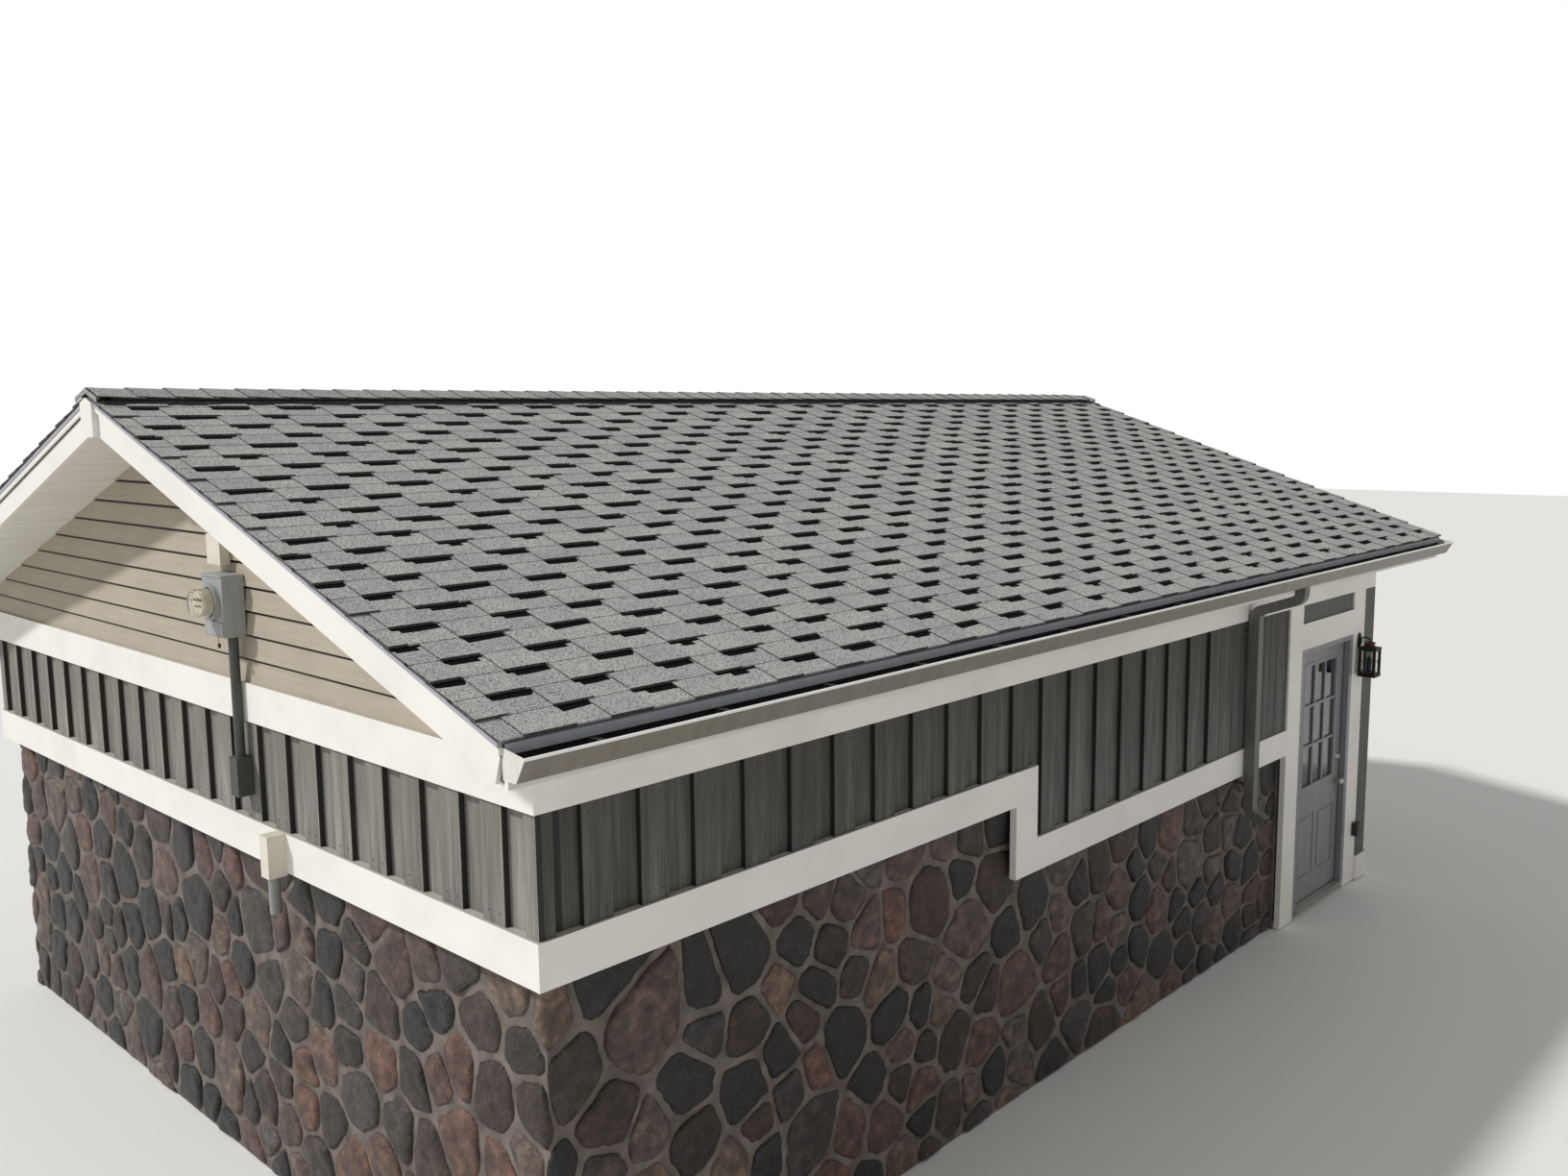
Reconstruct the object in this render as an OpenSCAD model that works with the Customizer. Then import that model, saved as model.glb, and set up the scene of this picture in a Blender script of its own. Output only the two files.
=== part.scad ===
// Lakeside boathouse: a gabled building with board-on-board walls on a fieldstone foundation.
// Millimetres. +Z is up, +X runs along the ridge towards the lake, and the long wall with the
// door faces -Y. The origin is under the middle of the roof, at the lowest ground.

/* [Walls] */
// Length over the trim boards, along the ridge
wall_len = 8540; // [8200:10:9600]
// Width over the trim boards, across the gable
wall_wid = 6180; // [5800:10:7200]
// Thickness of the framed walls, from the siding face inwards
wall_t = 105; // [95:5:150]
// How far the white trim boards stand over the back boards of the siding
trim_t = 42; // [36:1:48]
// Height of the underside of the frieze and of the belly bands
frieze_z = 2486; // [2440:2:2520]
// Height of a belly band
band_h = 195; // [150:5:210]

/* [Foundation] */
// Thickness of the stone foundation
found_t = 300; // [250:10:380]
// How far the foundation stands back from the siding face
found_back = 10; // [5:1:20]
// Height of the skirt board's underside at the uphill end
skirt_z1 = 1792; // [1740:2:1850]
// Height of the skirt board's underside past the first step
skirt_z2 = 1372; // [1300:2:1420]
// Height of the skirt board
skirt_h = 195; // [170:5:220]
// Distance from the uphill wall to the first step in the skirt
step_at = 3216; // [2800:4:3600]
// Width of the skirt's upright board at the step
step_w = 213; // [180:1:240]
// How far the skirt laps down over the foundation
skirt_lap = 30; // [20:1:45]
// Thickness of the concrete floor
floor_t = 60; // [50:5:80]

/* [Raised boards] */
// Distance between the raised boards of the siding
batten_pitch = 296; // [260:2:340]
// Width of a raised board
batten_w = 146; // [120:2:170]
// Thickness of a raised board
batten_t = 27; // [20:1:32]
// Distance from the uphill corner to the first raised board of a long wall
batten_start = 231; // [200:1:260]
// Width of the raised strips at the uphill corners
corner_strip = 94; // [80:1:110]
// Least length of the flush panel beside the door casing
panel_len = 1340; // [1200:10:1400]
// Height of one course of lap siding
lap_course = 119; // [100:1:140]
// Thickness of lap siding at its thick lower edge
lap_t = 24; // [16:1:30]

/* [Door] */
// Length of the bay at the lake end that is framed down to the floor
bay_len = 1700; // [1680:5:1800]
// Width of the corner boards at the lake end
corner_w = 212; // [190:1:230]
// Width of the opening between the casings
door_open_w = 1020; // [1000:2:1060]
// Height of the opening under the head casing
door_open_z = 2140; // [2120:2:2160]
// Width of the side casings
casing_w = 234; // [200:2:240]
// Height of the head casing
head_h = 202; // [180:2:220]
// Thickness of the door leaf
leaf_t = 45; // [40:1:50]
// Gap round the door leaf
leaf_gap = 7; // [7:0.5:8]
// How far the leaf stands back from the casing face
leaf_recess = 50; // [45:1:60]
// Thickness of the side jambs
jamb_t = 46; // [44:1:50]
// Thickness of the head jamb
head_jamb_t = 28; // [24:1:34]
// Thickness of the sill
sill_t = 15; // [12:1:20]
// Width of the glazed opening in the leaf
lite_w = 610; // [560:5:640]
// Height of the glazed opening in the leaf
lite_h = 965; // [900:5:1000]
// Height of the knob above the sill
knob_z = 858; // [820:2:950]
// Height of the deadbolt above the knob
bolt_rise = 205; // [150:5:215]
// Distance from the leaf's edge to the knob
backset = 60; // [58:1:80]
// Outer radius of a hinge barrel
hinge_r = 7; // [6:0.5:8]
// Radius of a hinge pin
pin_r = 4; // [3:0.5:4.5]
// Radius of the knob's spindle
spindle_r = 8; // [6:0.5:10]
// Running clearance round the spindle and the hinge pins
run_gap = 0.08; // [0.04:0.01:0.1]

/* [Boat door] */
// Width of the boat door opening
boat_w = 3048; // [2700:4:3300]
// Wall left between the head casing of the boat door and the belly band
boat_head_gap = 108; // [80:2:260]
// Thickness of a door section
section_t = 45; // [38:1:50]
// Number of sections
sections = 4; // [3:1:5]
// Width of the casing round the boat door
boat_casing_w = 184; // [140:2:200]

/* [Roof] */
// Pitch of the roof in degrees
roof_pitch = 19.15; // [17.5:0.05:20.5]
// Height of the shingles over the face of the fascia
eave_z = 2903; // [2885:1:2960]
// Overhang from the long walls' trim to the fascia
eave_over = 325; // [300:5:380]
// Overhang past the uphill wall
near_over = 350; // [300:5:420]
// Overhang past the lake wall
lake_over = 460; // [400:5:500]
// Thickness of the shingles at their lower edge
shingle_t = 16; // [12:1:20]
// Height of one course of shingles along the slope
course = 143; // [130:1:150]
// Thickness of the roof deck
deck_t = 18; // [15:1:22]
// Upright depth of a rafter
rafter_d = 120; // [110:2:140]
// Thickness of a rafter
rafter_t = 38; // [35:1:45]
// Distance between rafters
rafter_pitch = 610; // [500:5:620]
// Upright depth of the rake, from the top of the shingles down
rake_d = 186; // [165:1:196]
// Thickness of the ridge vent
vent_t = 24; // [18:1:30]
// Width of the ridge vent on each slope
vent_w = 130; // [110:2:150]

/* [Gutters] */
// Width across the top of a gutter
gutter_w = 127; // [110:1:140]
// Width across the bottom of a gutter
gutter_bottom = 72; // [60:1:80]
// Depth of a gutter below its lip
gutter_d = 94; // [85:1:105]
// Thickness of the gutter's metal
gutter_t = 3; // [2:0.5:4]
// Width of a downspout along the wall
spout_w = 80; // [60:1:90]
// Depth of a downspout out from the wall
spout_d = 70; // [60:1:72]
// Thickness of the downspout's metal
spout_t = 2.5; // [2:0.5:4]
// Distance from the uphill wall to a downspout
spout_at = 6130; // [5900:5:6600]
// Gap between a downspout and the face of the trim
spout_off = 14; // [8:1:30]
// Height at which a downspout turns outwards
spout_end_z = 1150; // [1050:10:1250]
// Radius of a downspout's bends, at the middle of the pipe
bend_r = 62; // [50:1:80]
// Slope of the upper elbows in degrees from upright
bend_a = 70; // [60:1:75]

/* [Fixtures] */
// Width of the meter socket
meter_w = 216; // [200:2:240]
// Depth of the meter socket
meter_d = 108; // [90:1:120]
// Height of the meter socket
meter_h = 300; // [280:2:330]
// Radius of the meter's glass
meter_r = 74; // [65:1:85]
// Distance from the front corner to the middle of the meter
meter_at = 2444; // [2300:4:2600]
// Height of the meter's lower end
meter_z = 2910; // [2880:2:2950]
// Distance from the front corner to the small box above the meter
small_box_at = 2538; // [2400:1:2600]
// Height of the small box's lower end
small_box_z = 3252; // [3224:1:3300]
// Distance from the front corner to the low box on the skirt
low_box_at = 2053; // [1900:1:2150]
// Radius of the conduit
conduit_r = 24; // [20:1:30]
// Width of the lantern's body
lantern_w = 138; // [120:2:160]
// Height of the lantern's body
lantern_h = 240; // [220:2:260]
// Height of the lantern's foot
lantern_z = 1785; // [1700:5:1850]

/* [Hidden] */

// Plan
roof_len = near_over + wall_len + lake_over;
x_roof = -roof_len / 2;
x_near = x_roof + near_over;
x_lake = x_near + wall_len;
half = wall_wid / 2;
y_side = half - trim_t;
x_side_near = x_near + trim_t;
x_side_lake = x_lake - trim_t;
y_in = y_side - wall_t;
x_in_near = x_side_near + wall_t;
x_in_lake = x_side_lake - wall_t;
x_bay = x_lake - bay_len;
x_step = x_near + step_at;
y_found = y_side - found_back;
x_found = x_side_near + found_back;
found_top1 = skirt_z1 + skirt_lap;
found_top2 = skirt_z2 + skirt_lap;
step_mid = x_step + step_w / 2;

// Roof planes, given by the distance y from the ridge
y_fascia = half + eave_over;
rise = tan(roof_pitch);
drip = 20;
rake_t = 20;
function plumb(t) = t / cos(roof_pitch);
function roof_z(y) = eave_z + rise * (y_fascia - y);
shingle_v = plumb(shingle_t);
deck_v = plumb(deck_t);
under_v = shingle_v + deck_v;
wall_top = roof_z(y_in) - under_v - rafter_d;
gutter_x = x_roof + gutter_t;
seat = 0.2;
slot = 24;
board_t = 38;
soffit_t = 10;
soffit_z = eave_z - rake_d + 4;
fascia_t = 20;
metal_h = 17;
metal_out = 18;
trim_h = 44;
trim_out = 13;
edge_out = metal_out + 4;
peak_w = 148;
peak_t = 28;

// Door
x_door1 = x_lake - corner_w - casing_w;
x_door0 = x_door1 - door_open_w;
x_case = x_door0 - casing_w;
leaf_x0 = x_door0 + jamb_t + leaf_gap;
leaf_x1 = x_door1 - jamb_t - leaf_gap;
leaf_z0 = floor_t + sill_t + leaf_gap;
leaf_z1 = door_open_z - head_jamb_t - leaf_gap;
leaf_y0 = -half + leaf_recess;
leaf_y1 = leaf_y0 + leaf_t;
leaf_mid = (leaf_x0 + leaf_x1) / 2;
lite_z1 = leaf_z1 - 132;
lite_z0 = lite_z1 - lite_h;
knob_x = leaf_x1 - backset;
knob_at_z = floor_t + sill_t + knob_z;
hinge_x = x_door0 + jamb_t + leaf_gap / 2;
hinge_y = leaf_y1 + hinge_r + 1;
stop_t = 12;

// Extrudes a profile drawn in Y and Z from x0 to x1
module along_x(x0, x1) {
    translate([x0, 0, 0]) rotate([90, 0, 90]) linear_extrude(x1 - x0) children();
}

// Extrudes a profile drawn in X and Z from y0 to y1
module along_y(y0, y1) {
    translate([0, y1, 0]) rotate([90, 0, 0]) linear_extrude(y1 - y0) children();
}

// A block between two corners
module block(a, b) {
    translate(a) cube(b - a);
}

// The same thing on the back long wall
module to_back() {
    mirror([0, 1, 0]) children();
}

// On the front and on the back alike
module both_sides() {
    children();
    to_back() children();
}

// One slope of a roof layer, between two depths below the shingles
module slope_layer(y0, y1, a, b) {
    polygon([[-y1, roof_z(y1) - a], [-y0, roof_z(y0) - a], [-y0, roof_z(y0) - b], [-y1, roof_z(y1) - b]]);
}

// Both slopes of a roof layer that meet at the ridge
module gable_layer(y1, a, b) {
    polygon([[-y1, roof_z(y1) - a], [0, roof_z(0) - a], [y1, roof_z(y1) - a],
        [y1, roof_z(y1) - b], [0, roof_z(0) - b], [-y1, roof_z(y1) - b]]);
}

// Gable outline from z0 up to a depth below the shingles
module gable_outline(y1, z0, a) {
    polygon([[-y1, z0], [y1, z0], [y1, roof_z(y1) - a], [0, roof_z(0) - a], [-y1, roof_z(y1) - a]]);
}

module floor_slab() {
    color("darkgray") linear_extrude(floor_t)
        polygon([[x_found + found_t, -y_found + found_t], [x_bay, -y_found + found_t], [x_bay, -y_side],
            [x_side_lake, -y_side], [x_side_lake, y_side], [x_bay, y_side],
            [x_bay, y_found - found_t], [x_found + found_t, y_found - found_t]]);
}

// Outline of a long foundation wall, stepping down with the ground
module foundation_steps(x0) {
    polygon([[x0, 0], [x_bay, 0], [x_bay, found_top2], [step_mid, found_top2],
        [step_mid, found_top1], [x0, found_top1]]);
}

module foundation_near() {
    color("gray") block([x_found, -y_found, 0], [x_found + found_t, y_found, found_top1]);
}

module foundation_sides() {
    color("gray") both_sides()
        along_y(-y_found, -y_found + found_t) foundation_steps(x_found + found_t);
}

module wall_near() {
    color("dimgray") along_x(x_side_near, x_in_near) gable_outline(y_side, found_top1, under_v + seat);
}

// Outline of a framed long wall on its stepped foundation, ending at x1
module wall_steps(x1) {
    polygon([[x_in_near, found_top1], [step_mid, found_top1], [step_mid, found_top2], [x_bay, found_top2],
        [x_bay, floor_t], [x1, floor_t], [x1, wall_top], [x_in_near, wall_top]]);
}

module wall_front() {
    color("dimgray") along_y(-y_side, -y_in) wall_steps(x_door0);
}

module wall_over_door() {
    color("dimgray") block([x_door0, -y_side, door_open_z], [x_door1, -y_in, wall_top - seat]);
}

module wall_corner() {
    color("dimgray") block([x_door1, -y_side, floor_t], [x_in_lake, -y_in, wall_top]);
}

module wall_back() {
    color("dimgray") to_back() along_y(-y_side, -y_in) wall_steps(x_in_lake);
}

boat_top = frieze_z - boat_head_gap - boat_casing_w;
boat_h = boat_top - floor_t;

module wall_lake_sides() {
    color("dimgray") both_sides()
        block([x_in_lake, -y_side, floor_t], [x_side_lake, -boat_w / 2, boat_top]);
}

module wall_lake_gable() {
    color("dimgray") along_x(x_in_lake, x_side_lake) gable_outline(y_side, boat_top, under_v + seat);
}

band_top = frieze_z + band_h;

// Saw-tooth section of lap siding, with its flat back at x = 0 and its face towards -X
module lap_profile(z0, z1) {
    n = ceil((z1 - z0) / lap_course);
    points = [for (i = [0:n - 1]) each [[-lap_t, z0 + i * lap_course],
        [-lap_t / 3, z0 + (i + 1) * lap_course]]];
    polygon(concat([[0, z0]], points, [[0, z0 + n * lap_course]]));
}

// Lap siding over one gable, with its back on the wall at x = 0
module lap_gable() {
    under = rake_d + seat;
    intersection() {
        along_y(-half, half) lap_profile(band_top, roof_z(0) - under);
        along_x(-lap_t, 0) gable_outline(y_side, band_top, under);
    }
}

module lap_siding() {
    color("tan") {
        translate([x_side_near, 0, 0]) lap_gable();
        translate([x_side_lake, 0, 0]) mirror([1, 0, 0]) lap_gable();
    }
}

// Foot of the trim at the lake end, and the top of the plinths there
foot_z = 8;
plinth_h = 207;
plinth_top = foot_z + plinth_h;
raised_y = y_side + batten_t;

// Upper edge of the skirt on a long wall, from the uphill corner to x1
function skirt_edge(x1) = [[x_side_near, skirt_z1 + skirt_h], [x_step + step_w, skirt_z1 + skirt_h],
    [x_step + step_w, skirt_z2 + skirt_h], [x1, skirt_z2 + skirt_h]];

// The same on the back, going on round the lake end
skirt_edge_back = concat(skirt_edge(x_bay), [[x_bay + step_w, skirt_z2 + skirt_h],
    [x_bay + step_w, plinth_top], [x_lake - corner_w, plinth_top]]);

// Raised boards of a long wall seen from the side: n boards after the corner strip
module long_boards(n) {
    square_to(x_side_near, x_near + corner_strip);
    for (i = [0:n - 1]) let (x = x_near + batten_start + i * batten_pitch)
        square_to(x, x + batten_w);
}

// An upright strip from the lowest skirt to the frieze
module square_to(x0, x1) {
    translate([x0, plinth_top]) square([x1 - x0, frieze_z - plinth_top]);
}

// Keeps what is above the skirt's upper edge and off the stand-offs of the downspout
module over_skirt(edge) {
    last = edge[len(edge) - 1];
    difference() {
        along_y(-raised_y, -y_side) difference() {
            children();
            polygon(concat([[x_near, 0], [x_near, edge[0][1]]], edge, [[last[0], 0]]));
        }
        spout_straps();
    }
}

module boards_front() {
    n = floor((x_case - panel_len - x_near - batten_start) / batten_pitch) + 1;
    color("dimgray") over_skirt(skirt_edge(x_case)) {
        long_boards(n);
        square_to(x_near + batten_start + n * batten_pitch, x_case);
    }
}

module boards_back() {
    n = floor((x_lake - corner_w - batten_w - x_near - batten_start) / batten_pitch) + 1;
    color("dimgray") to_back() over_skirt(skirt_edge_back) long_boards(n);
}

// A raised board on a gable wall from y0 to y1, with its back at x = 0 and its face towards -X
module gable_board(y0, y1, z0) {
    block([-batten_t, y0, z0], [0, y1, frieze_z]);
}

module boards_gables() {
    z1 = skirt_z1 + skirt_h;
    first = batten_start + batten_w / 2;
    gaps = round(2 * (half - first) / batten_pitch);
    pitch = 2 * (half - first) / gaps;
    boat_side = boat_w / 2 + boat_casing_w;
    room = half - corner_w - boat_side;
    lake_n = round(room / batten_pitch);
    space = (room - lake_n * batten_w) / (lake_n + 1);
    color("dimgray") {
        difference() {
            translate([x_side_near, 0, 0]) {
                for (i = [0:gaps]) gable_board(-half + first + i * pitch - batten_w / 2,
                    -half + first + i * pitch + batten_w / 2, z1);
                both_sides() gable_board(-raised_y, -half + corner_strip, z1);
            }
            pull_box();
        }
        translate([x_side_lake, 0, 0]) mirror([1, 0, 0]) both_sides()
            for (i = [1:lake_n])
                gable_board(boat_side + i * space + (i - 1) * batten_w,
                    boat_side + i * (space + batten_w), plinth_top);
    }
}

// Frieze boards, which reach round the corners above the belly bands
module frieze_boards() {
    color("white") both_sides() along_y(-half, -y_side)
        polygon([[x_side_near, frieze_z], [x_side_lake, frieze_z], [x_side_lake, band_top],
            [x_lake, band_top], [x_lake, soffit_z], [x_near, soffit_z], [x_near, band_top],
            [x_side_near, band_top]]);
}

module belly_bands() {
    color("white") {
        block([x_near, -half, frieze_z], [x_side_near, half, band_top]);
        block([x_side_lake, -half, frieze_z], [x_lake, half, band_top]);
    }
}

// Lower edge of the skirt board on a long wall, from x1 back to the uphill corner
function skirt_low(x1) = [[x1, skirt_z2], [x_step, skirt_z2], [x_step, skirt_z1], [x_side_near, skirt_z1]];

module skirt_front() {
    color("white") along_y(-half, -y_side) polygon(concat(skirt_edge(x_case), skirt_low(x_case)));
}

module skirt_back() {
    color("white") to_back() along_y(-half, -y_side)
        polygon(concat(skirt_edge_back, [[x_lake - corner_w, foot_z], [x_bay, foot_z]], skirt_low(x_bay)));
}

module skirt_gables() {
    color("white") {
        block([x_near, -half, skirt_z1], [x_side_near, half, skirt_z1 + skirt_h]);
        both_sides()
            block([x_side_lake, -half + corner_w, foot_z], [x_lake, -boat_w / 2 - boat_casing_w, plinth_top]);
    }
}

// L-shaped board round a lake corner, between two heights
module corner_l(z0, z1, out) {
    translate([0, 0, z0]) linear_extrude(z1 - z0)
        polygon([[x_lake - corner_w, -half - out], [x_lake + out, -half - out],
            [x_lake + out, -half + corner_w], [x_side_lake, -half + corner_w], [x_side_lake, -y_side],
            [x_lake - corner_w, -y_side]]);
}

module corner_boards() {
    color("dimgray") both_sides() corner_l(plinth_top, frieze_z, 0);
}

module corner_plinths() {
    color("white") both_sides() corner_l(foot_z, plinth_top, 20);
}

// White boards round the door: two sides and the head
module door_casing() {
    x1 = x_door1 + casing_w;
    color("white") along_y(-half, -y_side)
        polygon([[x_case, foot_z], [x_door0, foot_z], [x_door0, door_open_z], [x_door1, door_open_z],
            [x_door1, foot_z], [x1, foot_z], [x1, frieze_z], [x_door1, frieze_z],
            [x_door1, door_open_z + head_h], [x_door0, door_open_z + head_h], [x_door0, frieze_z],
            [x_case, frieze_z]]);
}

module transom_panel() {
    color("dimgray") block([x_door0, -raised_y, door_open_z + head_h], [x_door1, -y_side, frieze_z]);
}

// Jambs with the stop that the leaf closes against
module door_frame() {
    y0 = -half;
    y1 = leaf_y1;
    color("gray") difference() {
        block([x_door0, y0, floor_t], [x_door1, y1, door_open_z]);
        block([x_door0 + jamb_t, leaf_y0 - leaf_gap, floor_t - 1],
            [x_door1 - jamb_t, y1 + 1, door_open_z - head_jamb_t]);
        block([x_door0 + jamb_t + stop_t, y0 - 1, floor_t - 1],
            [x_door1 - jamb_t - stop_t, y1 + 1, door_open_z - head_jamb_t - stop_t]);
    }
}

module door_sill() {
    color("silver") along_x(x_door0 + jamb_t + stop_t, x_door1 - jamb_t - stop_t)
        polygon([[-half - 15, floor_t], [leaf_y1, floor_t], [leaf_y1, floor_t + sill_t],
            [leaf_y0 - leaf_gap, floor_t + sill_t], [-half - 15, floor_t + sill_t / 2]]);
}

panel_in = 110;
panel_gap = 70;
panel_h = 500;

// One lower panel of the leaf: a sunk border round a raised field, cut on both faces
module panel_cut(x0, x1) {
    z0 = leaf_z0 + 190;
    z1 = z0 + panel_h;
    for (y = [leaf_y0, leaf_y1]) difference() {
        block([x0, y - 6, z0], [x1, y + 6, z1]);
        block([x0 + 28, y - 7, z0 + 28], [x1 - 28, y + 7, z1 - 28]);
    }
}

module door_leaf() {
    frame = 26;
    color("gray") difference() {
        union() {
            block([leaf_x0, leaf_y0, leaf_z0], [leaf_x1, leaf_y1, leaf_z1]);
            block([leaf_mid - lite_w / 2 - frame, leaf_y0 - 4, lite_z0 - frame],
                [leaf_mid + lite_w / 2 + frame, leaf_y1 + 4, lite_z1 + frame]);
        }
        block([leaf_mid - lite_w / 2, leaf_y0 - 9, lite_z0], [leaf_mid + lite_w / 2, leaf_y1 + 9, lite_z1]);
        panel_cut(leaf_x0 + panel_in, leaf_mid - panel_gap / 2);
        panel_cut(leaf_mid + panel_gap / 2, leaf_x1 - panel_in);
        translate([knob_x, leaf_y1 + 9, knob_at_z]) rotate([90, 0, 0])
            cylinder(r = spindle_r + run_gap, h = leaf_t + 18, $fn = 48);
    }
}

glass_t = 14;
glass_y0 = (leaf_y0 + leaf_y1 - glass_t) / 2;

// Three by three lights: the same bars outside and inside the glass
module door_bars() {
    bar = 20;
    depth = 13;
    color("gray") for (y = [glass_y0 - depth, glass_y0 + glass_t]) {
        for (i = [1:2]) block([leaf_mid - lite_w / 2 + i * lite_w / 3 - bar / 2, y, lite_z0],
            [leaf_mid - lite_w / 2 + i * lite_w / 3 + bar / 2, y + depth, lite_z1]);
        for (i = [1:2]) block([leaf_mid - lite_w / 2, y, lite_z0 + i * lite_h / 3 - bar / 2],
            [leaf_mid + lite_w / 2, y + depth, lite_z0 + i * lite_h / 3 + bar / 2]);
    }
}

module door_glass() {
    color("lightblue") block([leaf_mid - lite_w / 2, glass_y0, lite_z0],
        [leaf_mid + lite_w / 2, glass_y0 + glass_t, lite_z1]);
}

hinge_h = 90;
hinge_zs = [leaf_z0 + 250, (leaf_z0 + leaf_z1) / 2, leaf_z1 - 250];
knuckle_h = hinge_h / 3;
flap_t = 3;
flap_from = hinge_r + 1.5;

// Jamb half of each hinge: flap, lower and upper knuckles, and the pin
module hinge_pins() {
    color("silver") for (z = hinge_zs) translate([hinge_x, hinge_y, z - hinge_h / 2]) {
        cylinder(r = hinge_r, h = knuckle_h, $fn = 48);
        translate([0, 0, hinge_h - knuckle_h]) cylinder(r = hinge_r, h = knuckle_h, $fn = 48);
        cylinder(r = pin_r, h = hinge_h, $fn = 48);
        translate([-flap_from - 26, leaf_y1 - hinge_y, 0]) cube([26, flap_t, hinge_h]);
        for (up = [0, hinge_h - knuckle_h])
            translate([-flap_from - 1, leaf_y1 - hinge_y, up]) cube([flap_from + 1, flap_t, knuckle_h]);
    }
}

// Leaf half of each hinge: flap and the middle knuckle that turns on the pin
module door_hinges() {
    play = 0.2;
    color("silver") for (z = hinge_zs) translate([hinge_x, hinge_y, z - hinge_h / 2]) difference() {
        union() {
            translate([0, 0, knuckle_h + play]) cylinder(r = hinge_r, h = knuckle_h - 2 * play, $fn = 48);
            translate([flap_from, leaf_y1 - hinge_y, 0]) cube([26, flap_t, hinge_h]);
            translate([0, leaf_y1 - hinge_y, knuckle_h + play])
                cube([flap_from + 1, flap_t, knuckle_h - 2 * play]);
        }
        cylinder(r = pin_r + run_gap, h = hinge_h, $fn = 48);
    }
}

rose_r = 36;
rose_t = 8;
bolt_r = 31;

// Fixed parts of the lock: the knob's roses and the deadbolt's cylinder and inner plate
module door_lock() {
    color("silver") {
        for (y = [leaf_y0, leaf_y1 + rose_t]) translate([knob_x, y, knob_at_z]) rotate([90, 0, 0])
            difference() {
                cylinder(r = rose_r, h = rose_t, $fn = 64);
                translate([0, 0, -1]) cylinder(r = spindle_r + 1, h = rose_t + 2, $fn = 48);
            }
        translate([knob_x, leaf_y0, knob_at_z + bolt_rise]) rotate([90, 0, 0])
            cylinder(r1 = bolt_r, r2 = bolt_r - 8, h = 20, $fn = 64);
        translate([knob_x, leaf_y1, knob_at_z + bolt_rise]) rotate([-90, 0, 0])
            cylinder(r = bolt_r, h = 12, $fn = 64);
    }
}

knob_profile = [[0, 0], [spindle_r, 0], [spindle_r, 16], [14, 20], [26, 30], [30, 42], [27, 54],
    [17, 61], [0, 63]];

// The two knobs on their spindle, which turns in the leaf
module door_knob() {
    color("silver") {
        translate([knob_x, leaf_y1, knob_at_z]) rotate([90, 0, 0])
            cylinder(r = spindle_r, h = leaf_t, $fn = 48);
        translate([knob_x, leaf_y0, knob_at_z]) rotate([90, 0, 0])
            rotate_extrude($fn = 64) polygon(knob_profile);
        translate([knob_x, leaf_y1, knob_at_z]) rotate([-90, 0, 0])
            rotate_extrude($fn = 64) polygon(knob_profile);
    }
}

boat_stop = 20;
boat_x1 = x_side_lake - 40;
section_gap = 0.3;
boat_jamb = 30;
section_h = (boat_h - boat_jamb - section_gap * (sections + 1)) / sections;
boat_cols = 4;

// One section of the boat door, with a row of raised panels on its outer face
module boat_section(z) {
    y0 = -boat_w / 2 + boat_jamb + section_gap;
    w = -2 * y0 / boat_cols;
    difference() {
        block([boat_x1 - section_t, y0, z], [boat_x1, -y0, z + section_h]);
        for (i = [0:boat_cols - 1]) difference() {
            block([boat_x1 - 6, y0 + i * w + 70, z + 80],
                [boat_x1 + 1, y0 + (i + 1) * w - 70, z + section_h - 80]);
            block([boat_x1 - 7, y0 + i * w + 110, z + 120],
                [boat_x1 + 2, y0 + (i + 1) * w - 110, z + section_h - 120]);
        }
    }
}

module boat_door() {
    color("gray") for (i = [0:sections - 1])
        boat_section(floor_t + section_gap + i * (section_h + section_gap));
}

// Jambs of the boat door, with a stop on the outside
module boat_door_frame() {
    color("gray") difference() {
        block([x_in_lake, -boat_w / 2, floor_t], [x_side_lake, boat_w / 2, boat_top]);
        block([x_in_lake - 1, -boat_w / 2 + boat_jamb, floor_t - 1],
            [boat_x1 + section_gap, boat_w / 2 - boat_jamb, boat_top - boat_jamb]);
        block([boat_x1 - 1, -boat_w / 2 + boat_jamb + boat_stop, floor_t - 1],
            [x_side_lake + 1, boat_w / 2 - boat_jamb - boat_stop, boat_top - boat_jamb - boat_stop]);
    }
}

module boat_door_casing() {
    y0 = boat_w / 2 + boat_casing_w;
    z0 = foot_z;
    color("white") along_x(x_side_lake, x_lake)
        polygon([[-y0, z0], [-boat_w / 2, z0], [-boat_w / 2, boat_top], [boat_w / 2, boat_top],
            [boat_w / 2, z0], [y0, z0], [y0, boat_top + boat_casing_w], [-y0, boat_top + boat_casing_w]]);
}

rafter_x0 = x_in_near + rafter_t / 2;
rafter_x1 = x_in_lake - rafter_t / 2;
rafter_n = floor((rafter_x1 - rafter_x0) / rafter_pitch);
rafter_step = (rafter_x1 - rafter_x0) / rafter_n;

// Side view of a rafter: deck side, tail, heel notch over the wall and plumb cut at the ridge
module rafter_side() {
    a = under_v + seat;
    b = under_v + rafter_d;
    tail = y_fascia - fascia_t;
    polygon([[-tail, roof_z(tail) - a], [-board_t / 2, roof_z(board_t / 2) - a],
        [-board_t / 2, roof_z(board_t / 2) - b], [-y_in, wall_top], [-y_side, wall_top],
        [-y_side, max(roof_z(y_side) - b, soffit_z + soffit_t)],
        [-tail, max(roof_z(tail) - b, soffit_z + soffit_t)]]);
}

module rafters() {
    color("burlywood") for (i = [0:rafter_n], s = [0, 1]) mirror([0, s, 0])
        along_x(rafter_x0 + i * rafter_step - rafter_t / 2, rafter_x0 + i * rafter_step + rafter_t / 2)
            rafter_side();
}

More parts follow.
